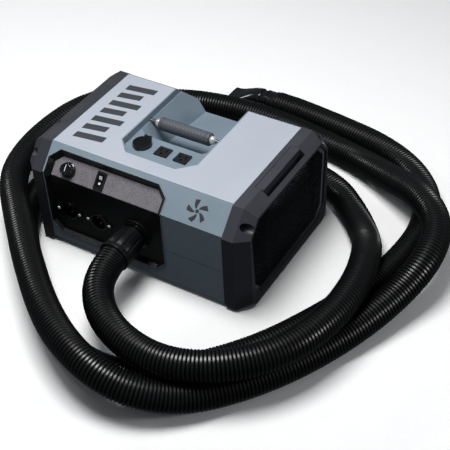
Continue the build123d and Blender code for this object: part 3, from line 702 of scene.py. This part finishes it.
# -------------------------------------------------------------------------- end caps
@dataclass
class EndCaps:
    """The charcoal end caps with their fine grilles, cassettes, bolts and pads."""

    grille_x: float = 252.5
    cell: float = 3.6
    bar: float = 1.5
    frame_width: float = 5.0
    frame_back: float = 1.5
    frame_front: float = 1.3
    centre_z: float = 114.0
    centre_reach: float = 95.0
    mesh_foot: float = 16.0
    mesh_height: float = 200.0
    mesh_half: float = 80.0
    outline: tuple[tuple[float, float], ...] = (
        (-122.0, 18.0), (122.0, 18.0), (145.0, 44.0), (153.0, 178.0),
        (126.0, 208.5), (-126.0, 208.5), (-153.0, 178.0), (-145.0, 44.0))

    def build(self) -> list[Piece]:
        """Dress the caps and weave both grilles.

        Returns:
            The new pieces.
        """
        for end in ("intake", "rear"):
            dress(CHARCOAL, f"{end}_end_cap", f"{end}_filter_cassette")
            dress(FOAM, f"{end}_filter_foam")
        dress(STEEL, "end_cap_bolts")
        dress(SOFT_RUBBER, "rubber_pads")
        pattern = lattice_tree(MESH_BLACK)
        return [self._grille(pattern, end, side) for end, side in (("intake", 1), ("rear", -1))]

    def _inside(self, y: float, z: float, margin: float) -> bool:
        """Tell whether a point lies inside the opening by at least a margin.

        Args:
            y: the point's place across.
            z: its height.
            margin: the least distance to every edge.

        Returns:
            True where it does.
        """
        corners = self.outline
        for (y0, z0), (y1, z1) in zip(corners, corners[1:] + corners[:1]):
            length = math.hypot(y1 - y0, z1 - z0)
            if ((y1 - y0) * (z - z0) - (z1 - z0) * (y - y0)) / length < margin:
                return False
        return True

    def _grille(self, pattern: PatternTree, end: str, side: int) -> Piece:
        """Make one grille: a lattice of diamonds inside a flat frame.

        Args:
            pattern: the lattice's tree.
            end: "intake" or "rear".
            side: 1 for +X, -1 for -X.

        Returns:
            The grille, in place of its CAD node.
        """
        step = self.cell
        points = []
        columns = int(self.mesh_half / step) + 1
        for row in range(int(self.mesh_height / step)):
            z = self.mesh_foot + row * step
            shift = step if row % 2 else 0.0
            for column in range(-columns, columns + 1):
                y = column * 2 * step + shift
                if self._inside(y, z, self.frame_width - 1.0):
                    points.append((side * self.grille_x * MM, y * MM, z * MM))
        lattice = pattern.apply(points, {"Cell": step * MM, "Bar": self.bar * MM})
        centre = Vector((0, 0, self.centre_z))
        outer = [Vector((0, y, z)) for y, z in self.outline]
        shrink = 1 - self.frame_width / self.centre_reach
        inner = [centre + (corner - centre) * shrink for corner in outer]
        x0, x1 = side * (self.grille_x - self.frame_back), side * (self.grille_x + self.frame_front)
        loops = [[Vector((x, p.y, p.z)) * MM for p in loop]
                 for loop, x in ((outer, x0), (outer, x1), (inner, x1), (inner, x0))]
        border = shell_mesh(loops, True)
        mesh = joined([lattice, border])
        piece = new_piece(f"{end}_mesh_grille", mesh, MESH_BLACK, 30.0)
        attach(piece, "housing")
        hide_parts(f"{end}_grille")
        LOG.info("%s grille: %d diamonds", end, len(points))
        return piece


# -------------------------------------------------------------------- control insert
@dataclass
class ControlInsert:
    """The black insert: speckled plate, knob, rocker, and the two power inlets."""

    chamfer: Facet
    knob_x: float = -157.0
    knob_s: float = 45.5
    switch_x: float = -80.5
    switch_s: float = 44.5
    plate_depth: float = 10.5
    flutes: int = 12
    flute_depth: float = 1.3
    knob_top: float = 16.45
    rocker_back: tuple[float, float] = (11.2, 8.4)
    rocker_front: tuple[float, float] = (12.0, 5.2)
    rocker_crease: float = 3.4
    rocker_sink: float = 13.5
    lip_x: tuple[float, float] = (-207.0, 74.5)
    lip_s: tuple[float, float] = (10.0, 65.0)
    lip_z: tuple[float, float] = (34.5, 184.0)
    lip_cut: float = 22.0
    lip_lift: float = 0.95
    lip_width: float = 0.9
    upright_y: float = -181.05
    inlet_x: tuple[float, float] = (-160.0, -86.5)
    inlet_z: float = 96.0
    screw_reach: float = 26.0
    screw_y: float = -176.0
    screw_radius: float = 3.6
    screw_height: float = 1.6

    def build(self) -> list[Piece]:
        """Dress the insert and add its small parts.

        Returns:
            The new pieces.
        """
        dress(INSERT_BLACK, "control_bezel")
        dress(MAUVE, "control_plate")
        dress(CAST, "speed_potentiometer")
        dress(SOCKET_BLACK, "switch_housing")
        dress(GLOSS_BLACK, "switch_rocker", "power_inlet_1", "power_inlet_2")
        dress(BRASS, "inlet_pins")
        return [self._knob(), self._pointer(), self._marks(),
                self._edge(), self._screws()]

    def _knob(self) -> Piece:
        """Make the speed knob: a skirt and a fluted cap with a dished top.

        Returns:
            The piece.
        """
        rings = []
        profile = ((0.0, 1.6, 0), (15.2, 1.6, 0), (16.0, 2.2, 0), (16.0, 4.0, 0), (15.2, 4.9, 0),
                   (13.9, 5.6, 1), (13.5, 14.0, 1), (12.8, 16.2, 1), (11.4, 17.0, 0.4),
                   (10.0, 16.4, 0), (0.0, 16.2, 0))
        for radius, height, depth in profile:
            ring = []
            for turn in turns(96):
                groove = max(0.0, math.cos(self.flutes * turn)) ** 2 * self.flute_depth * depth
                r = max(radius - groove, 0.02)
                ring.append(self.chamfer.at(self.knob_x + r * math.cos(turn),
                                       self.knob_s + r * math.sin(turn),
                                       height - self.plate_depth))
            rings.append(ring)
        piece = new_piece("fluted_knob", shell_mesh(rings, False), KNOB_BLACK, 40.0)
        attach(piece, "knob")
        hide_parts("speed_knob")
        return piece

    def _pointer(self) -> Piece:
        """Make the knob's pale pointer line.

        Returns:
            The piece.
        """
        lift = self.knob_top - self.plate_depth
        outline = [self.chamfer.at(self.knob_x + a, self.knob_s + b, lift)
                   for a, b in ((-0.8, -9.4), (0.8, -9.4), (0.8, 4.5), (-0.8, 4.5))]
        piece = new_piece("knob_pointer", slab(outline, self.chamfer.normal * 0.0006), PRINT_WHITE)
        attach(piece, "knob")
        return piece

    def _marks(self) -> Piece:
        """Make the rocker's pale marks: a stroke on the raised end, a dot on the low end.

        Returns:
            The piece.
        """

        def on_rocker(a: float, b: float) -> Vector:
            """Return a point on the rocker's two sloped faces.

            Args:
                a: its place across, from the rocker's middle.
                b: its place down, from the rocker's middle.

            Returns:
                The point, just above the face.
            """
            reach, rim = self.rocker_back if b < 0 else self.rocker_front
            raised = self.rocker_crease + (rim - self.rocker_crease) * abs(b) / reach
            return self.chamfer.at(self.switch_x + a, self.switch_s + b,
                              raised - self.rocker_sink + 0.05)

        stroke = [on_rocker(a, b) for a, b in ((-3.6, -9.6), (3.6, -9.6), (3.6, -2.6), (-3.6, -2.6))]
        dot = [on_rocker(2.6 * math.cos(t), 5.6 + 2.6 * math.sin(t)) for t in turns(24)]
        parts = [slab(outline, self.chamfer.normal * PRINT_LIFT) for outline in (stroke, dot)]
        piece = new_piece("rocker_marks", joined(parts), PRINT_WHITE)
        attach(piece, "rocker")
        return piece

    def _edge(self) -> Piece:
        """Make a pale line along the insert's lip, on the chamfer and the upright: a painted
        highlight on the lip's edge.

        Returns:
            The piece.
        """
        (x0, x1), cut, normal = self.lip_x, self.lip_cut, self.chamfer.normal
        parts = []
        for foot, top, lifted in ((self.lip_s[1], self.lip_s[0], True),
                                  (self.lip_z[1], self.lip_z[0], False)):
            path = [(x0, foot), (x0, top + cut), (x0 + cut + 1, top), (x1 - cut - 1, top),
                    (x1, top + cut), (x1, foot)]
            for (xa, sa), (xb, sb) in zip(path, path[1:]):
                if lifted:
                    start, end, middle = (self.chamfer.at(x, s, self.lip_lift)
                                          for x, s in ((xa, sa), (xb, sb), (-66, 50)))
                    out = normal
                else:
                    start, end, middle = (Vector((x, self.upright_y, z)) * MM
                                          for x, z in ((xa, sa), (xb, sb), (-66, 100)))
                    out = Vector((0, -1, 0))
                inward = out.cross((end - start).normalized()) * -self.lip_width * MM
                if (middle - start).dot(inward) < 0:
                    inward = -inward
                parts.append(slab([start, end, end + inward, start + inward], out * PRINT_LIFT))
        # The pale strip is a painted highlight along the lip's edge.
        piece = new_piece("insert_edge_highlight", joined(parts), EDGE_HIGHLIGHT_GREY)
        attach(piece, "housing")
        return piece

    def _screws(self) -> Piece:
        """Make the inlets' bright screw heads.

        Returns:
            The piece.
        """
        points = [((x + side * self.screw_reach) * MM, self.screw_y * MM, self.inlet_z * MM)
                  for x in self.inlet_x for side in (-1, 1)]
        mesh = screw_tree(STUD).apply(points, {"Radius": self.screw_radius * MM,
                                               "Height": self.screw_height * MM})
        piece = new_piece("inlet_screw_heads", mesh, STUD, 30.0)
        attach(piece, "housing")
        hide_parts("inlet_screws")
        return piece


# ------------------------------------------------------------------- shelf and handle
@dataclass
class ShelfAndHandle:
    """The rubber grip on its rod, and the sockets on the shelf in front of it."""

    grip_y: float = 31.0
    grip_z: float = 218.0
    grip_half: float = 60.0
    grip_radius: float = 14.0
    rod_hole: float = 4.1
    nut_radius: float = 8.8

    def build(self) -> list[Piece]:
        """Dress the sockets and build the grip and its nuts.

        Returns:
            The new pieces.
        """
        dress(STEEL, "handle_rod", "socket_hinge_pin")
        dress(SOCKET_BLACK, "outlet_1", "outlet_2", "round_socket")
        dress(GLOSS_BLACK, "socket_flip_cap")
        pieces = [self._grip(), self._nuts()]
        for piece in pieces:
            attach(piece, "housing")
        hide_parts("handle_grip")
        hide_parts("handle_nuts")
        return pieces

    def _grip(self) -> Piece:
        """Make a sleeve with rolled ends and a shallow ring near each end.

        Returns:
            The piece.
        """
        h, r = self.grip_half, self.grip_radius
        outer = [(r - 2.4, 0.0), (r - 0.7, 0.6), (r, 2.4), (r, 6.0), (r - 0.8, 6.8), (r - 0.8, 8.2),
                 (r, 9.0), (r, 2 * h - 9.0), (r - 0.8, 2 * h - 8.2), (r - 0.8, 2 * h - 6.8),
                 (r, 2 * h - 6.0), (r, 2 * h - 2.4), (r - 0.7, 2 * h - 0.6), (r - 2.4, 2 * h)]
        profile = outer + [(self.rod_hole, 2 * h), (self.rod_hole, 0.0)]
        start = (-h * MM, self.grip_y * MM, self.grip_z * MM)
        mesh = lathe(start, (1, 0, 0), profile, 64)
        return new_piece("knurled_grip", mesh, GRIP_RUBBER, 40.0)

    def _nuts(self) -> Piece:
        """Make a bright domed nut at each end of the sleeve.

        Returns:
            The piece.
        """
        hole, r = self.rod_hole, self.nut_radius
        parts = []
        for side in (-1, 1):
            start = (side * self.grip_half * MM, self.grip_y * MM, self.grip_z * MM)
            dome = [(r * math.cos(t), 4 + r * math.sin(t))
                    for t in (math.pi / 2 * i / 12 * 0.7 for i in range(13))]
            profile = [(hole, 0.0), (r - 0.4, 0.0), (r, 0.5)] + dome + [(hole, dome[-1][1])]
            parts.append(lathe(start, (side, 0, 0), profile, 40))
        return new_piece("domed_nuts", joined(parts), BRIGHT, 40.0)


# -------------------------------------------------------------------------- the hose
# Control points of the hose's line, in millimetres: out of the cuff, three turns
# round the housing, to the nozzle. Where it is 92 to 94 high it passes over itself.
HOSE_ROUTE: tuple[Point, ...] = (
    (4, -245, 102), (5, -302, 99), (52, -371, 92), (138, -417, 93), (238, -426, 93),
    (330, -382, 93), (404, -302, 93), (440, -195, 93), (444, -85, 93), (420, 15, 84),
    (380, 92, 46), (326, 160, 30), (246, 226, 30), (95, 254, 30), (-65, 256, 32),
    (-200, 250, 56), (-306, 212, 93), (-362, 133, 94), (-386, 32, 84), (-380, -62, 78),
    (-332, -152, 92), (-242, -240, 94), (-138, -338, 94), (-16, -436, 94), (98, -490, 90),
    (194, -490, 64), (276, -442, 38), (344, -364, 30), (408, -270, 30), (466, -152, 36),
    (508, -40, 54), (532, 48, 86), (516, 142, 94), (448, 212, 94), (362, 270, 60),
    (260, 328, 32), (140, 356, 30), (10, 376, 30), (-120, 370, 30), (-232, 340, 30),
    (-312, 282, 30), (-344, 195, 30), (-338, 85, 30), (-322, -45, 30), (-302, -168, 30),
    (-218, -264, 30), (-118, -352, 30), (-22, -418, 30), (66, -450, 30), (152, -442, 30),
    (224, -392, 30), (288, -330, 30), (346, -252, 30), (396, -152, 30), (438, -48, 30),
    (466, 70, 30), (472, 180, 30), (442, 280, 30), (370, 356, 30), (275, 400, 30),
    (175, 418, 30), (90, 430, 30), (35, 436, 30), (-9, 437, 30))


@dataclass
class HoseSet:
    """The ribbed hose with its cuff, lock ring, collar and flat nozzle."""

    radius: float = 30.0
    valley: float = 27.2
    pitch: float = 7.0
    around: int = 30
    stations: tuple[float, ...] = (0.0, 1.9, 3.5, 5.1)
    length: float = 6.75
    port_x: float = 4.0
    port_z: float = 102.0
    cuff_start: float = -183.3
    cuff_end: float = -245.0
    cuff_ribs: int = 12
    nozzle_start: float = 44.0
    nozzle_length: float = 88.0
    nozzle_radius: float = 25.5

    def build(self) -> list[Piece]:
        """Returns:
            The new pieces.
        """
        dress(INSERT_BLACK, "hose_port")
        dress(SOFT_RUBBER, "port_gasket")
        dress(GLOSS_BLACK, "port_lock_ring")
        line = self._line()
        hose = self._tube(line)
        cuff, collar, nozzle = self._cuff(), self._collar(), self._nozzle()
        for piece in (hose, cuff, collar, nozzle):
            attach(piece, "housing")
        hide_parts("hose")
        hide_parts("hose_cuff")
        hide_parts("nozzle_collar")
        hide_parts("nozzle")
        length = sum((b - a).length for a, b in zip(line, line[1:]))
        LOG.info("hose length %.3f m", length)
        return [hose, cuff, collar, nozzle]

    def _line(self) -> list[Vector]:
        """Read the hose's centreline from a smooth spline that its control points guide.

        Returns:
            Its points, in metres.
        """
        curve = bpy.data.curves.new("hose_line", "CURVE")
        curve.dimensions = "3D"
        curve.resolution_u = 16
        spline = curve.splines.new("NURBS")
        spline.points.add(len(HOSE_ROUTE) - 1)
        for point, place in zip(spline.points, HOSE_ROUTE):
            point.co = (place[0] * MM, place[1] * MM, place[2] * MM, 1.0)
        spline.order_u = 3
        spline.use_endpoint_u = True
        mesh = flattened(bpy.data.objects.new("hose_line", curve))
        line = [v.co.copy() for v in mesh.vertices]
        bpy.data.meshes.remove(mesh)
        return line

    def _spaced(self, line: Sequence[Vector]) -> list[tuple[Vector, float]]:
        """Put points along the line at the stations of each rib.

        Args:
            line: the centreline.

        Returns:
            Pairs of a point and its distance from the start of its rib.
        """
        lengths = [0.0]
        for a, b in zip(line, line[1:]):
            lengths.append(lengths[-1] + (b - a).length)
        ribs = round(lengths[-1] / (self.pitch * MM))
        step = lengths[-1] / ribs
        result, index = [], 0
        for rib in range(ribs):
            for offset in self.stations:
                goal = rib * step + offset * MM
                while index < len(line) - 2 and lengths[index + 1] < goal:
                    index += 1
                share = (goal - lengths[index]) / (lengths[index + 1] - lengths[index])
                result.append((line[index].lerp(line[index + 1], share), offset))
        result.append((line[-1], 0.0))
        return result

    def _tube(self, line: Sequence[Vector]) -> Piece:
        """Make the ribbed tube, whose closed ends are inside the cuff and the collar.

        Args:
            line: the centreline.

        Returns:
            The piece.
        """
        stations = self._spaced(line)
        rings, tangents = [], []
        for i in range(len(stations)):
            before = stations[max(i - 2, 0)][0]
            after = stations[min(i + 2, len(stations) - 1)][0]
            tangents.append((after - before).normalized())
        side, _ = across(tangents[0])
        for (point, offset), tangent in zip(stations, tangents):
            side = (side - tangent * side.dot(tangent)).normalized()
            up = tangent.cross(side)
            radius = (self.valley if offset == 0.0 else self.radius) * MM
            rings.append(circle(point, side, up, radius, self.around))
        return new_piece("ribbed_hose", shell_mesh(rings, False), HOSE_BLACK, 38.0)

    def _cuff(self) -> Piece:
        """Make the cuff: a flared sleeve with broad raised ribs and a plain rim.

        Returns:
            The piece.
        """
        rings = []
        length = self.cuff_start - self.cuff_end + 6.0
        profile = ((21.0, 0.0, 0.0), (25.0, 0.0, 0.0), (27.0, 1.0, 0.0), (27.4, 6.0, 0.0),
                   (27.6, 9.0, 0.0), (28.2, 11.0, 1.0), (29.0, 20.0, 1.0), (30.4, 36.0, 1.0),
                   (31.6, 52.0, 1.0), (31.9, 55.0, 0.0), (32.0, 58.0, 0.0), (33.2, 59.0, 0.0),
                   (33.4, 60.0, 0.0), (33.4, length - 1.0, 0.0), (32.6, length, 0.0),
                   (30.6, length, 0.0), (30.6, length - 5.0, 0.0), (21.0, length - 6.4, 0.0))
        for radius, along, raised in profile:
            y = self.cuff_start - along
            ring = []
            for turn in turns(144):
                phase = (self.cuff_ribs * turn / (2 * math.pi)) % 1.0
                height = 1.3 * raised if 0.14 < phase < 0.86 else -0.6 * raised
                r = radius + height
                ring.append(Vector((self.port_x + r * math.cos(turn), y,
                                    self.port_z + r * math.sin(turn))) * MM)
            rings.append(ring)
        return new_piece("ribbed_cuff", shell_mesh(rings, True), CUFF_BLACK, 30.0)

    def _heading(self) -> tuple[Vector, Vector]:
        """Return where the hose ends, and the direction it ends in."""
        end, before = Vector(HOSE_ROUTE[-1]), Vector(HOSE_ROUTE[-2])
        return end, (end - before).normalized()

    def _collar(self) -> Piece:
        """Make the turned collar between the hose and the nozzle.

        Returns:
            The piece.
        """
        end, along = self._heading()
        profile = [(20.5, -30.0), (25.9, -30.0), (25.9, 0.2), (28.0, 0.2), (28.5, 0.8), (28.5, 7.4),
                   (28.0, 8.0), (25.0, 8.0), (24.8, 15.6), (26.0, 16.0), (26.5, 16.6), (26.5, 20.4),
                   (26.0, 21.0), (24.6, 21.4), (24.4, 25.6), (26.0, 26.0), (26.5, 26.6),
                   (26.5, 30.4), (26.0, 31.0), (24.0, 31.4), (23.0, 46.0), (22.6, 48.0),
                   (20.5, 48.0)]
        mesh = lathe(tuple(end * MM), tuple(along), profile, 56)
        return new_piece("hose_collar", mesh, GLOSS_BLACK, 35.0)

    def _nozzle(self) -> Piece:
        """Make the nozzle: round at the collar, drawn out into a wide flat mouth.

        Returns:
            The piece.
        """
        end, along = self._heading()
        side, up = across(along)

        def ring(distance: float, wide: float, high: float, drop: float,
                 power: float) -> list[Vector]:
            """Make a rounded section across the nozzle.

            Args:
                distance: how far it is from the hose's end.
                wide: its half width.
                high: its half height.
                drop: how far it is off the hose's line.
                power: 2 for an ellipse, more for squarer corners.

            Returns:
                Its points, in metres.
            """
            centre = end + along * distance + up * drop
            loop = []
            for turn in turns(64):
                c, s = math.cos(turn), math.sin(turn)
                a = wide * math.copysign(abs(c) ** (2 / power), c)
                b = high * math.copysign(abs(s) ** (2 / power), s)
                loop.append((centre + side * a + up * b) * MM)
            return loop

        outer, r = [], self.nozzle_radius
        for share in (0.0, 0.02, 0.08, 0.14, 0.2, 0.3, 0.4, 0.5, 0.6, 0.7, 0.8, 0.9, 0.97, 1.0):
            ease = share * share * (3 - 2 * share)
            bead = 0.36 if 0.01 < share < 0.1 or share > 0.95 else 0.0
            outer.append((self.nozzle_start + self.nozzle_length * share, r + 5.0 * ease + bead,
                          r - 16.0 * ease + bead, -18 * ease, 2.0 + 1.6 * ease))
        wall = 2.2
        rings = [ring(*values) for values in outer]
        rings += [ring(d, w - wall, h - wall, z, p) for d, w, h, z, p in reversed(outer)]
        return new_piece("flat_nozzle", shell_mesh(rings, True), GLOSS_BLACK, 40.0)


# ---------------------------------------------------------------------------- inside
@dataclass
class BlowerUnits:
    """The two motors, the plenum and the speed control, which the housing hides."""

    def build(self) -> None:
        """Dress every inner part."""
        for end in ("intake", "rear"):
            dress(CAST, f"{end}_fan_housing", f"{end}_impeller")
            dress(STEEL, f"{end}_motor_frame", f"{end}_armature")
            dress(INSERT_BLACK, f"{end}_motor_bulkhead")
        dress(BRIGHT, "bearings")
        dress(SOFT_RUBBER, "carbon_brushes", "motor_isolators", "plenum_sleeves")
        dress(INSERT_BLACK, "air_plenum")
        dress(BOARD_GREEN, "control_board")
        dress(CAST, "board_heat_sink", "run_capacitor")
        dress(SOCKET_BLACK, "capacitor_clip")
        dress(STEEL, "board_posts")


# ---------------------------------------------------------------------------- studio
@dataclass
class Studio:
    """Pale floor, soft boxes and the camera."""

    azimuth: float = 32.76
    elevation: float = 41.36
    roll: float = -2.99
    slide_x: float = -87.6
    slide_y: float = 19.0
    distance: float = 2278.8
    lens: float = 85.2
    foot: float = 14.0
    ambient_low: float = 0.07
    ambient_high: float = 0.17
    floor_reach: float = 9.0
    sensor: float = 36.0

    def build(self) -> None:
        """Set the stage."""
        scene = bpy.context.scene
        scene.view_settings.view_transform = "Standard"
        world = bpy.data.worlds.new("studio_air")
        world.use_nodes = True
        nodes, links = world.node_tree.nodes, world.node_tree.links
        dim = nodes["Background"]
        dim.inputs["Color"].default_value = (0.9, 0.95, 1.0, 1.0)
        facing = nodes.new("ShaderNodeTexCoord").outputs["Generated"]
        height = nodes.new("ShaderNodeSeparateXYZ")
        links.new(facing, height.inputs["Vector"])
        above = nodes.new("ShaderNodeMapRange")
        above.inputs["To Min"].default_value = self.ambient_low
        above.inputs["To Max"].default_value = self.ambient_high
        links.new(height.outputs["Z"], above.inputs["Value"])
        links.new(above.outputs["Result"], dim.inputs["Strength"])
        paper = nodes.new("ShaderNodeBackground")
        paper.inputs["Color"].default_value = (1.0, 1.0, 1.0, 1.0)
        path, mix = nodes.new("ShaderNodeLightPath"), nodes.new("ShaderNodeMixShader")
        links.new(path.outputs["Is Camera Ray"], mix.inputs["Fac"])
        links.new(dim.outputs["Background"], mix.inputs[1])
        links.new(paper.outputs["Background"], mix.inputs[2])
        links.new(mix.outputs["Shader"], nodes["World Output"].inputs["Surface"])
        scene.world = world
        self._floor()
        self._light("overhead_box", (-0.1, -0.2, 2.2), (0.0, 0.0, 0.1), 0.9, 46.0)
        self._light("left_box", (-2.0, 0.3, 1.2), (0.0, 0.0, 0.1), 0.5, 7.0)
        self._light("grille_strip", (2.2, 0.2, 0.9), (0.2, 0.0, 0.1), 0.35, 9.0)
        self._camera()

    def _floor(self) -> None:
        """Lay a wide pale floor."""
        mesh = bpy.data.meshes.new("floor")
        r = self.floor_reach
        mesh.from_pydata([(-r, -r, 0), (r, -r, 0), (r, r, 0), (-r, r, 0)], [], [(0, 1, 2, 3)])
        paper = Finish("floor_paper", "FFFFFF", "FCFCFC", 0.9, 0.02, specular=0.1,
                       grain=Grain.SMOOTH, grain_size=0.01, grain_height=0.00001, edge=0.0)
        mesh.materials.append(paper.material())
        floor = bpy.data.objects.new("floor", mesh)
        floor.visible_diffuse = False
        floor.visible_glossy = False
        show(floor)

    def _light(self, name: str, place: Point, target: Point, size: float, power: float) -> None:
        """Add a square soft box that faces a target.

        Args:
            name: its name.
            place: its centre, in metres.
            target: the point it faces.
            size: its side, in metres.
            power: its power, in watts.
        """
        lamp = bpy.data.lights.new(name, "AREA")
        lamp.size = size
        lamp.energy = power
        holder = bpy.data.objects.new(name, lamp)
        holder.location = place
        direction = Vector(target) - Vector(place)
        holder.rotation_euler = direction.to_track_quat("-Z", "Y").to_euler()
        show(holder)

    def _camera(self) -> None:
        """Place the camera from its angles and its distance to the row's origin."""
        a, e, r = (math.radians(v) for v in (self.azimuth, self.elevation, self.roll))
        back = Vector((math.sin(a) * math.cos(e), -math.cos(a) * math.cos(e), math.sin(e)))
        right = Vector((math.cos(a), math.sin(a), 0.0))
        up = back.cross(right)
        across_x = right * math.cos(r) + up * math.sin(r)
        across_y = up * math.cos(r) - right * math.sin(r)
        place = across_x * -self.slide_x + across_y * -self.slide_y + back * self.distance
        place = (place + Vector((0, 0, self.foot))) * MM
        lens = bpy.data.cameras.new("camera")
        lens.lens = self.lens
        lens.sensor_width = self.sensor
        lens.clip_start = 0.05
        holder = bpy.data.objects.new("camera", lens)
        holder.matrix_world = Matrix((
            (across_x.x, across_y.x, back.x, place.x), (across_x.y, across_y.y, back.y, place.y),
            (across_x.z, across_y.z, back.z, place.z), (0, 0, 0, 1)))
        show(holder)
        bpy.context.scene.camera = holder


def main() -> None:
    """Build the sub-assemblies in order and report each piece."""
    logging.basicConfig(level=logging.INFO, format="%(name)s: %(message)s")
    housing = Housing()
    steps: list[tuple[str, Callable[[], object]]] = [
        ("hose", HoseSet().build),
        ("housing", housing.build),
        ("end caps", EndCaps().build),
        ("control insert", ControlInsert(housing.chamfer()).build),
        ("shelf and handle", ShelfAndHandle().build),
        ("blower units", BlowerUnits().build),
        ("studio", Studio().build),
    ]
    for name, build in steps:
        made = build() or []
        LOG.info("%s: %s", name, ", ".join(piece.name for piece in made) or "dressed")


if __name__ == "__main__":
    main()
